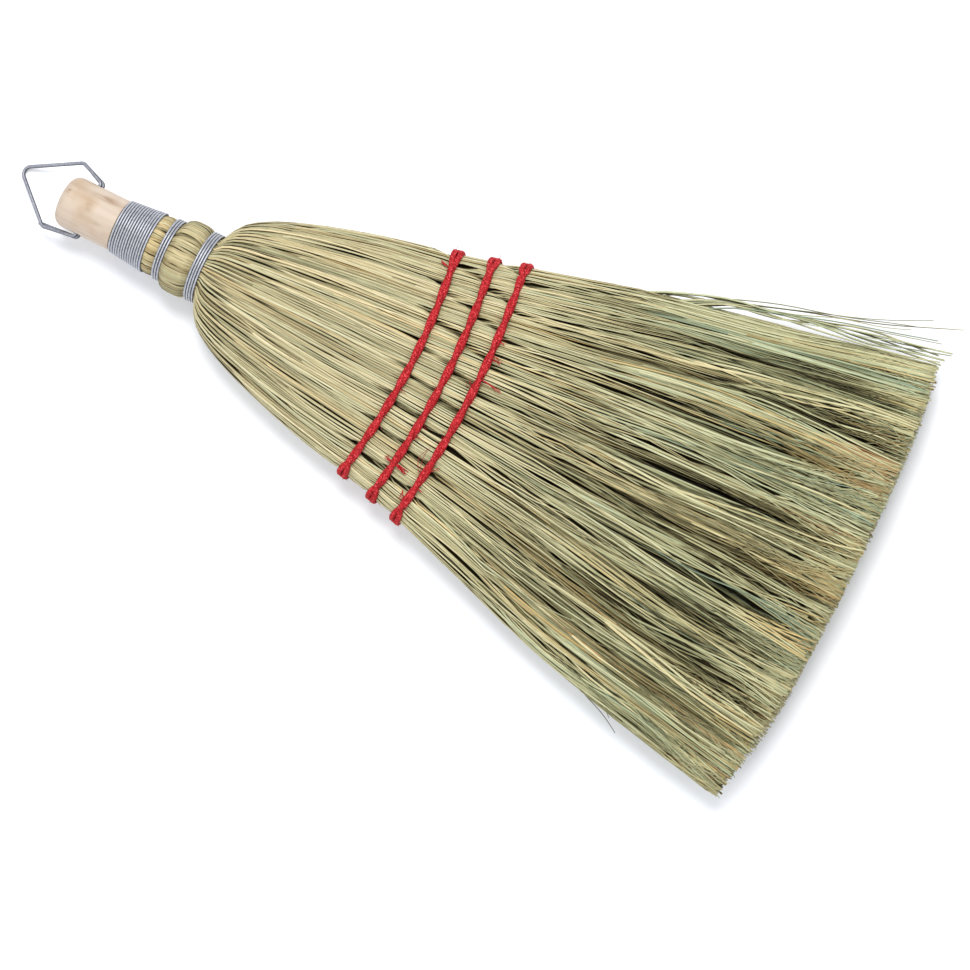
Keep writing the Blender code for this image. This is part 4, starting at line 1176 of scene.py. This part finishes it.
def streak_group():
    """Fine streaks along X: a stretched noise as a mask from 0 to 1. Built once, used by wood and corn."""
    found = bpy.data.node_groups.get("fine_streaks")
    if found:
        return found
    group = bpy.data.node_groups.new("fine_streaks", "ShaderNodeTree")
    for name, value in (("Across", 900.0), ("Along", 25.0), ("Contrast", 2.0)):
        socket = group.interface.new_socket(name=name, in_out="INPUT", socket_type="NodeSocketFloat")
        socket.default_value = value
    group.interface.new_socket(name="Mask", in_out="OUTPUT", socket_type="NodeSocketFloat")
    given = add_node(group, "NodeGroupInput").outputs
    axes = {0: given["Along"], 1: given["Across"], 2: given["Across"]}
    stretch = {0: object_place(group), 1: add_node(group, "ShaderNodeCombineXYZ", axes).outputs[0]}
    place = add_node(group, "ShaderNodeVectorMath", stretch, operation="MULTIPLY").outputs[0]
    streaks = add_node(group, "ShaderNodeTexNoise", {"Vector": place, "Scale": 1.0, "Detail": 3.0})
    centred = add_node(group, "ShaderNodeMath", {0: streaks.outputs["Fac"], 1: 0.5}, operation="SUBTRACT")
    gain = {0: centred.outputs[0], 1: given["Contrast"], 2: 0.5}
    mask = add_node(group, "ShaderNodeMath", gain, operation="MULTIPLY_ADD", use_clamp=True)
    add_node(group, "NodeGroupOutput", {0: mask.outputs[0]})
    return group


def add_streaks(tree, across, along, contrast):
    """The streak group placed in a material with its own values."""
    inputs = {"Across": across, "Along": along, "Contrast": contrast}
    return add_node(tree, "ShaderNodeGroup", inputs, node_tree=streak_group()).outputs["Mask"]


def mix(tree, factor, first, second, blend="MIX"):
    """Two colours mixed by a factor."""
    inputs = {"Factor": factor, 6: first, 7: second}
    return add_node(tree, "ShaderNodeMix", inputs, data_type="RGBA", blend_type=blend).outputs[2]


def tint(tree, first, second):
    """One colour multiplied by another."""
    return mix(tree, 1.0, first, second, "MULTIPLY")


def corn_material(name):
    """Dry corn: a hue from a strand's warmth, a shade from its tone, fine streaks, greyer at the sweep."""
    material, tree = new_material(name)
    colours = bpy.context.scene.broom_colours
    hues = (
        (0.00, colours.corn_teal),
        (0.15, colours.corn_green),
        (0.42, colours.corn_straw),
        (0.72, colours.corn_gold),
        (1.00, colours.corn_rust),
    )
    hue = colour_ramp(tree, attribute(tree, "warmth"), hues)
    base = tint(tree, hue, colour_ramp(tree, attribute(tree, "tone"), SHADE_STOPS))
    faded = mix(tree, attribute(tree, "along"), base, tint(tree, base, colours.corn_sweep))
    streaks = add_streaks(tree, 2600.0, 60.0, 1.8)
    final = mix(tree, streaks, tint(tree, faded, STREAK_TINT), faded)
    inputs = {"Base Color": final, "Roughness": 0.50, "Specular IOR Level": 0.12}
    set_surface(tree, inputs, streaks, 0.25, 0.2 * MM)
    return material


def mark_mask(tree, place, centre, reach, strength):
    """A soft spot as a mask: its strength at the centre, 0 where the distance in reaches is 1."""
    moved = add_node(tree, "ShaderNodeVectorMath", {0: place, 1: centre}, operation="SUBTRACT").outputs[0]
    scaled = add_node(tree, "ShaderNodeVectorMath", {0: moved, 1: reach}, operation="DIVIDE").outputs[0]
    far = add_node(tree, "ShaderNodeVectorMath", {0: scaled}, operation="LENGTH").outputs["Value"]
    inputs = {"Value": far, "To Min": strength, "To Max": 0.0}
    return add_node(tree, "ShaderNodeMapRange", inputs, interpolation_type="SMOOTHSTEP").outputs[0]


def wood_material(name):
    """Pale sanded hardwood: long soft grain, a few darker patches and brown marks with ragged rims."""
    material, tree = new_material(name)
    colours = bpy.context.scene.broom_colours
    grain = add_streaks(tree, 420.0, 26.0, 1.5)
    base = colour_ramp(tree, grain, ((0.15, colours.wood_dark), (0.6, colours.wood)))
    patches = colour_ramp(tree, noise(tree, 70.0, 2.0), ((0.42, WHITE), (0.72, colours.wood_patch)))
    final = tint(tree, base, patches)
    ragged, place = add_streaks(tree, 700.0, 120.0, 3.0), object_place(tree)
    for centre, reach, strength in WOOD_MARKS:
        centre = np.array(centre) * MM + (GRIP_END, 0.0, AXIS_Z)
        mask = mark_mask(tree, place, centre, np.array(reach) * MM, strength)
        spot = add_node(tree, "ShaderNodeMath", {0: mask, 1: ragged}, operation="MULTIPLY").outputs[0]
        final = mix(tree, spot, final, tint(tree, final, colours.wood_mark))
    set_surface(tree, {"Base Color": final, "Roughness": 0.55}, grain, 0.15, 0.3 * MM)
    return material


def wire_material(name):
    """Drawn wire: bluish grey with a fine mottle that also makes it rougher, with painted shade on its
    flanks.
    """
    material, tree = new_material(name)
    colours = bpy.context.scene.broom_colours
    bright, dull, flank = colours.wire, colours.wire_dark, (0.26, 0.27, 0.31)
    if name == "loop_wire":
        bright, dull, flank = colours.loop_wire, colours.loop_wire_dark, (0.24, 0.24, 0.26)
    mottle = noise(tree, 900.0, 4.0)
    # Painted shade: darker where the wire faces away from its outward side
    shade = colour_ramp(tree, attribute(tree, "facing"), ((0.40, flank), (0.92, WHITE)))
    base = tint(tree, colour_ramp(tree, mottle, ((0.3, dull), (0.7, bright))), shade)
    rough = add_node(tree, "ShaderNodeMapRange", {"Value": mottle, "To Min": 0.50, "To Max": 0.66})
    set_surface(tree, {"Base Color": base, "Roughness": rough.outputs[0], "Metallic": 0.9})
    return material


def twine_material(name):
    """Red twine: slightly varied dye on fine, matt fibres."""
    material, tree = new_material(name)
    colours = bpy.context.scene.broom_colours
    fleck = noise(tree, 1500.0, 3.0)
    stops = ((0.36, colours.twine_dark), (0.54, colours.twine), (0.74, colours.twine_light))
    base = colour_ramp(tree, fleck, stops)
    inputs = {"Base Color": base, "Roughness": 0.72, "Specular IOR Level": 0.25}
    set_surface(tree, inputs, fleck, 0.5, 0.3 * MM)
    return material


def floor_material(name):
    """A plain pale sweep of paper, with a faint bluish glow of its own: painted light that lifts its
    shadows.
    """
    material, tree = new_material(name)
    glow = {"Emission Color": (0.92, 0.96, 1.0), "Emission Strength": 0.06}
    colour = {"Base Color": bpy.context.scene.broom_colours.floor}
    set_surface(tree, {**colour, "Roughness": 0.9, "Specular IOR Level": 0.1, **glow})
    return material


# Makers of the materials, each called when its material is first asked for
MATERIALS = {
    "broom_corn": corn_material,
    "pale_wood": wood_material,
    "winding_wire": wire_material,
    "loop_wire": wire_material,
    "red_twine": twine_material,
    "pale_floor": floor_material,
}


def set_piece(obj, body, node):
    """Lets a piece ride on a body and stand for a CAD node, whose own part it hides."""
    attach(obj, body)
    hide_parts(node)


# Settings, operators and panel


def colour_property(name, description, default):
    """A linear colour setting."""
    return bpy.props.FloatVectorProperty(
        name=name, description=description, subtype="COLOR", size=3, min=0.0, max=1.0, default=default
    )


def length_property(name, description, default):
    """A length setting in metres."""
    return bpy.props.FloatProperty(
        name=name, description=description, unit="LENGTH", min=0.0, default=default, precision=5
    )


def count_property(name, description, default, least=1):
    """A whole number setting."""
    return bpy.props.IntProperty(name=name, description=description, min=least, default=default)


class BroomSizes(bpy.types.PropertyGroup):
    """Sizes and counts that a user may change."""

    winding_wire: length_property("Winding wire", "Diameter of the wire wound round the corn", WINDING_WIRE)
    loop_wire: length_property("Loop wire", "Diameter of the hanging loop's wire", LOOP_WIRE)
    twine: length_property("Twine", "Diameter of one twine of the stitching", 2 * TWINE_RADIUS)
    face_fibres: count_property("Face fibres", "Thick free fibres on each face of the sweep", 290)
    edge_fibres: count_property("Edge fibres", "Thick free fibres on each edge of the sweep", 160)
    inner_fibres: count_property("Inner fibres", "Fibres inside the sweep", 3200)
    seed: count_property("Seed", "Start of the random numbers", 11, 0)


class BroomColours(bpy.types.PropertyGroup):
    """Colours that a user may change."""

    wood: colour_property("Wood", "Light wood", (0.51, 0.415, 0.325))
    wood_dark: colour_property("Wood grain", "Darker grain of the wood", (0.45, 0.355, 0.27))
    wood_patch: colour_property("Wood patch", "Tint of darker patches in the wood", (0.80, 0.70, 0.56))
    wood_mark: colour_property("Wood mark", "Tint of the brown marks in the wood", (0.50, 0.36, 0.24))
    wire: colour_property("Winding wire", "Bright zinc", (0.54, 0.55, 0.58))
    wire_dark: colour_property("Winding mottle", "Dull zinc", (0.34, 0.35, 0.38))
    loop_wire: colour_property("Loop wire", "Bright zinc of the loop", (0.46, 0.47, 0.51))
    loop_wire_dark: colour_property("Loop mottle", "Dull zinc of the loop", (0.27, 0.28, 0.32))
    corn_teal: colour_property("Corn teal", "Coolest stalks", (0.46, 0.60, 0.51))
    corn_green: colour_property("Corn green", "Greenish stalks", (0.620, 0.635, 0.430))
    corn_straw: colour_property("Corn straw", "Most stalks", (0.815, 0.720, 0.465))
    corn_gold: colour_property("Corn gold", "Warm stalks", (0.825, 0.605, 0.30))
    corn_rust: colour_property("Corn rust", "Warmest stalks", (0.60, 0.36, 0.19))
    corn_sweep: colour_property("Sweep tint", "Tint of the corn towards the sweep", (0.80, 0.845, 0.76))
    twine: colour_property("Twine", "Red dye", (0.45, 0.008, 0.012))
    twine_dark: colour_property("Twine shade", "Deep red", (0.17, 0.003, 0.005))
    twine_light: colour_property("Twine light", "Light red fibres", (0.76, 0.12, 0.13))
    floor: colour_property("Floor", "Paper under the broom", (0.885, 0.896, 0.920))


class BROOM_OT_handle(bpy.types.Operator):
    """Turn the wooden grip with its rounded end, cross hole and hidden stub"""

    bl_idname = "broom.handle"
    bl_label = "Wooden grip"

    def execute(self, context):
        points, faces = turned(grip_profile(), GRIP_SIDES)
        obj = new_piece("wooden_grip", "pale_wood", points, faces)
        bpy.ops.mesh.primitive_cylinder_add(
            vertices=HOLE_SIDES,
            radius=HOLE_RADIUS,
            depth=3 * HANDLE_RADIUS,
            location=tuple(PIVOT),
            rotation=(math.pi / 2, 0, 0),
        )
        cutter = context.active_object
        cut = obj.modifiers.new("cross_hole", "BOOLEAN")
        cut.operation, cut.solver, cut.object = "DIFFERENCE", "EXACT", cutter
        mesh = bpy.data.meshes.new_from_object(obj.evaluated_get(context.evaluated_depsgraph_get()))
        obj.modifiers.clear()
        obj.data = mesh
        bpy.data.objects.remove(cutter)
        mesh.polygons.foreach_set("use_smooth", np.ones(len(mesh.polygons), bool))
        mesh.set_sharp_from_angle(angle=math.radians(40))
        set_piece(obj, "broom", "handle")
        return {"FINISHED"}


class BROOM_OT_loop(bpy.types.Operator):
    """Bend the wire loop that the broom hangs by"""

    bl_idname = "broom.loop"
    bl_label = "Hanging loop"

    def execute(self, context):
        wire = wire_tube(*loop_path(), context.scene.broom_sizes.loop_wire, LOOP_SIDES)
        set_piece(new_piece("wire_loop", "loop_wire", *wire), "loop", "hanging_loop")
        return {"FINISHED"}


class BROOM_OT_windings(bpy.types.Operator):
    """Wind the wire round the handle's end, the neck and the shoulder"""

    bl_idname = "broom.windings"
    bl_label = "Wire windings"

    def execute(self, context):
        sizes = context.scene.broom_sizes
        radius = sizes.winding_wire / 2
        for index, (name, node, start, end, turns) in enumerate(WINDINGS):
            random = np.random.default_rng(sizes.seed + SEED_STEPS["windings"] + index)
            middle, spare = (start + end) / 2, turns * sizes.winding_wire * 1.01 / 2 + radius
            path = helix(middle - spare, middle + spare, turns, radius, random)
            wire = wire_tube(*path, sizes.winding_wire, WINDING_SIDES)
            set_piece(new_piece(name, "winding_wire", *wire), "broom", node)
        return {"FINISHED"}


class BROOM_OT_core(bpy.types.Operator):
    """Fill the inside of the corn and the end of the sweep"""

    bl_idname = "broom.core"
    bl_label = "Inner corn"

    def execute(self, context):
        sizes = context.scene.broom_sizes
        random = np.random.default_rng(sizes.seed + SEED_STEPS["inner"])
        fibres = inner_fibres(random, sizes.inner_fibres)
        for name, mesh in (("corn_core", core_surface()), ("inner_fibres", fibres)):
            set_piece(new_piece(name, "broom_corn", *mesh), "broom", "inner_corn")
        return {"FINISHED"}


class BROOM_OT_stalks(bpy.types.Operator):
    """Lay the stalks of the faces and edges, from the butts through the stitching"""

    bl_idname = "broom.stalks"
    bl_label = "Stalks"

    def execute(self, context):
        seed = context.scene.broom_sizes.seed
        for index, (name, node, shares) in enumerate(BUNDLES):
            random = np.random.default_rng(seed + SEED_STEPS["stalks"] + index)
            parts = [neck_stalks(random, shares)]
            parts += [head_stalks(random, shares, kind) for kind in STALK_KINDS]
            set_piece(new_piece(f"{name}_stalks", "broom_corn", *join(parts)), "broom", node)
        return {"FINISHED"}


class BROOM_OT_fibres(bpy.types.Operator):
    """Spread the free fibres and the strays of the sweep"""

    bl_idname = "broom.fibres"
    bl_label = "Sweep fibres"

    def execute(self, context):
        sizes = context.scene.broom_sizes
        for index, (name, node, shares) in enumerate(BUNDLES):
            count = sizes.face_fibres if name in ("top", "bottom") else sizes.edge_fibres
            for offset, (label, kind) in enumerate(FIBRE_KINDS.items()):
                random = np.random.default_rng(sizes.seed + SEED_STEPS["fibres"] + 4 * index + offset)
                fibres = sweep_fibres(random, shares, int(count * kind["portion"]), kind)
                obj = new_piece(f"{name}_{label}_fibres", "broom_corn", *fibres)
                set_piece(obj, "broom", node)
        strays = stray_fibres(np.random.default_rng(sizes.seed + SEED_STEPS["strays"]))
        set_piece(new_piece("stray_fibres", "broom_corn", *strays), "broom", "right_shoulder")
        return {"FINISHED"}


class BROOM_OT_stitches(bpy.types.Operator):
    """Sew the three rows of red twine"""

    bl_idname = "broom.stitches"
    bl_label = "Stitching"

    def execute(self, context):
        sizes = context.scene.broom_sizes
        for row in range(3):
            random = np.random.default_rng(sizes.seed + SEED_STEPS["stitches"] + row)
            pair = twine_pair(row)
            parts = [ply_tubes(line, normals, sizes.twine / 2) for line, normals in pair]
            parts += [twine_fuzz(random, [line for line, _ in pair], TWINE_HAIRS), loose_ends(random, row)]
            obj = new_piece(f"red_row_{row + 1}", "red_twine", *join(parts))
            set_piece(obj, "broom", f"stitch_row_{row + 1}")
        return {"FINISHED"}


def photo_view():
    """The camera's place and turn: it looks down on the broom, tilted and turned as in the photograph.

    Its axes are the broom's own, turned by one angle about the view and tilted by another about Y.
    """
    tilt, turn = math.radians(CAMERA_TILT), math.radians(CAMERA_TURN)
    along = np.array([math.cos(tilt), 0, -math.sin(tilt)])
    across = np.array([0.0, 1.0, 0.0])
    back = np.array([math.sin(tilt), 0, math.cos(tilt)])
    right = math.cos(turn) * along + math.sin(turn) * across
    up = math.cos(turn) * across - math.sin(turn) * along
    place = CAMERA_TARGET + CAMERA_DISTANCE * back
    return Matrix([*np.column_stack([right, up, back, place]).tolist(), (0, 0, 0, 1)])


def aimed(position, target):
    """The turn of a lamp at a position that looks at a target."""
    return (Vector(target) - Vector(position)).to_track_quat("-Z", "Y").to_euler()


class BROOM_OT_stage(bpy.types.Operator):
    """Set the floor, the soft lights and the camera"""

    bl_idname = "broom.stage"
    bl_label = "Stage"

    def execute(self, context):
        scene = context.scene
        corners = FLOOR_REACH * np.array([(-1, -1, 0), (1, -1, 0), (1, 1, 0), (-1, 1, 0)])
        floor = new_piece("floor", "pale_floor", corners, [np.array([[0, 1, 2, 3]])], smooth=False)
        data = bpy.data.cameras.new("photo_camera")
        data.sensor_width = SENSOR_WIDTH
        data.lens = CAMERA_FOCUS / PHOTO_WIDTH * SENSOR_WIDTH
        data.clip_end = 50.0
        camera = bpy.data.objects.new("photo_camera", data)
        scene.collection.objects.link(camera)
        camera.matrix_world = photo_view()
        scene.camera = camera
        for name, position, width, power in LAMPS:
            light = bpy.data.lights.new(name, "AREA")
            light.shape, light.size, light.energy = "DISK", width, power
            lamp = bpy.data.objects.new(name, light)
            scene.collection.objects.link(lamp)
            lamp.location = position
            lamp.rotation_euler = aimed(position, LAMP_TARGET)
        world = bpy.data.worlds.new("studio")
        world.use_nodes = True
        background = world.node_tree.nodes["Background"]
        background.inputs["Color"].default_value = WORLD_COLOUR
        background.inputs["Strength"].default_value = WORLD_STRENGTH
        scene.world = world
        scene.view_settings.view_transform = "Standard"
        return {"FINISHED"}


class BROOM_PT_panel(bpy.types.Panel):
    """The broom's pieces and settings in the sidebar"""

    bl_idname = "BROOM_PT_panel"
    bl_label = "Corn whisk broom"
    bl_space_type = "VIEW_3D"
    bl_region_type = "UI"
    bl_category = "Broom"

    def draw(self, context):
        for operator in OPERATORS:
            self.layout.operator(operator.bl_idname)
        for settings in (context.scene.broom_sizes, context.scene.broom_colours):
            for key in settings.__annotations__:
                self.layout.prop(settings, key)


OPERATORS = (
    BROOM_OT_handle,
    BROOM_OT_loop,
    BROOM_OT_windings,
    BROOM_OT_core,
    BROOM_OT_stalks,
    BROOM_OT_fibres,
    BROOM_OT_stitches,
    BROOM_OT_stage,
)
CLASSES = (BroomSizes, BroomColours, *OPERATORS, BROOM_PT_panel)


def register():
    """Add the settings, operators and panel."""
    for item in CLASSES:
        bpy.utils.register_class(item)
    bpy.types.Scene.broom_sizes = bpy.props.PointerProperty(type=BroomSizes)
    bpy.types.Scene.broom_colours = bpy.props.PointerProperty(type=BroomColours)


def unregister():
    """Remove them again."""
    del bpy.types.Scene.broom_colours
    del bpy.types.Scene.broom_sizes
    for item in reversed(CLASSES):
        bpy.utils.unregister_class(item)


def main():
    """Build every piece in order."""
    register()
    for operator in OPERATORS:
        getattr(bpy.ops.broom, operator.bl_idname.split(".")[1])()


if __name__ == "__main__":
    main()
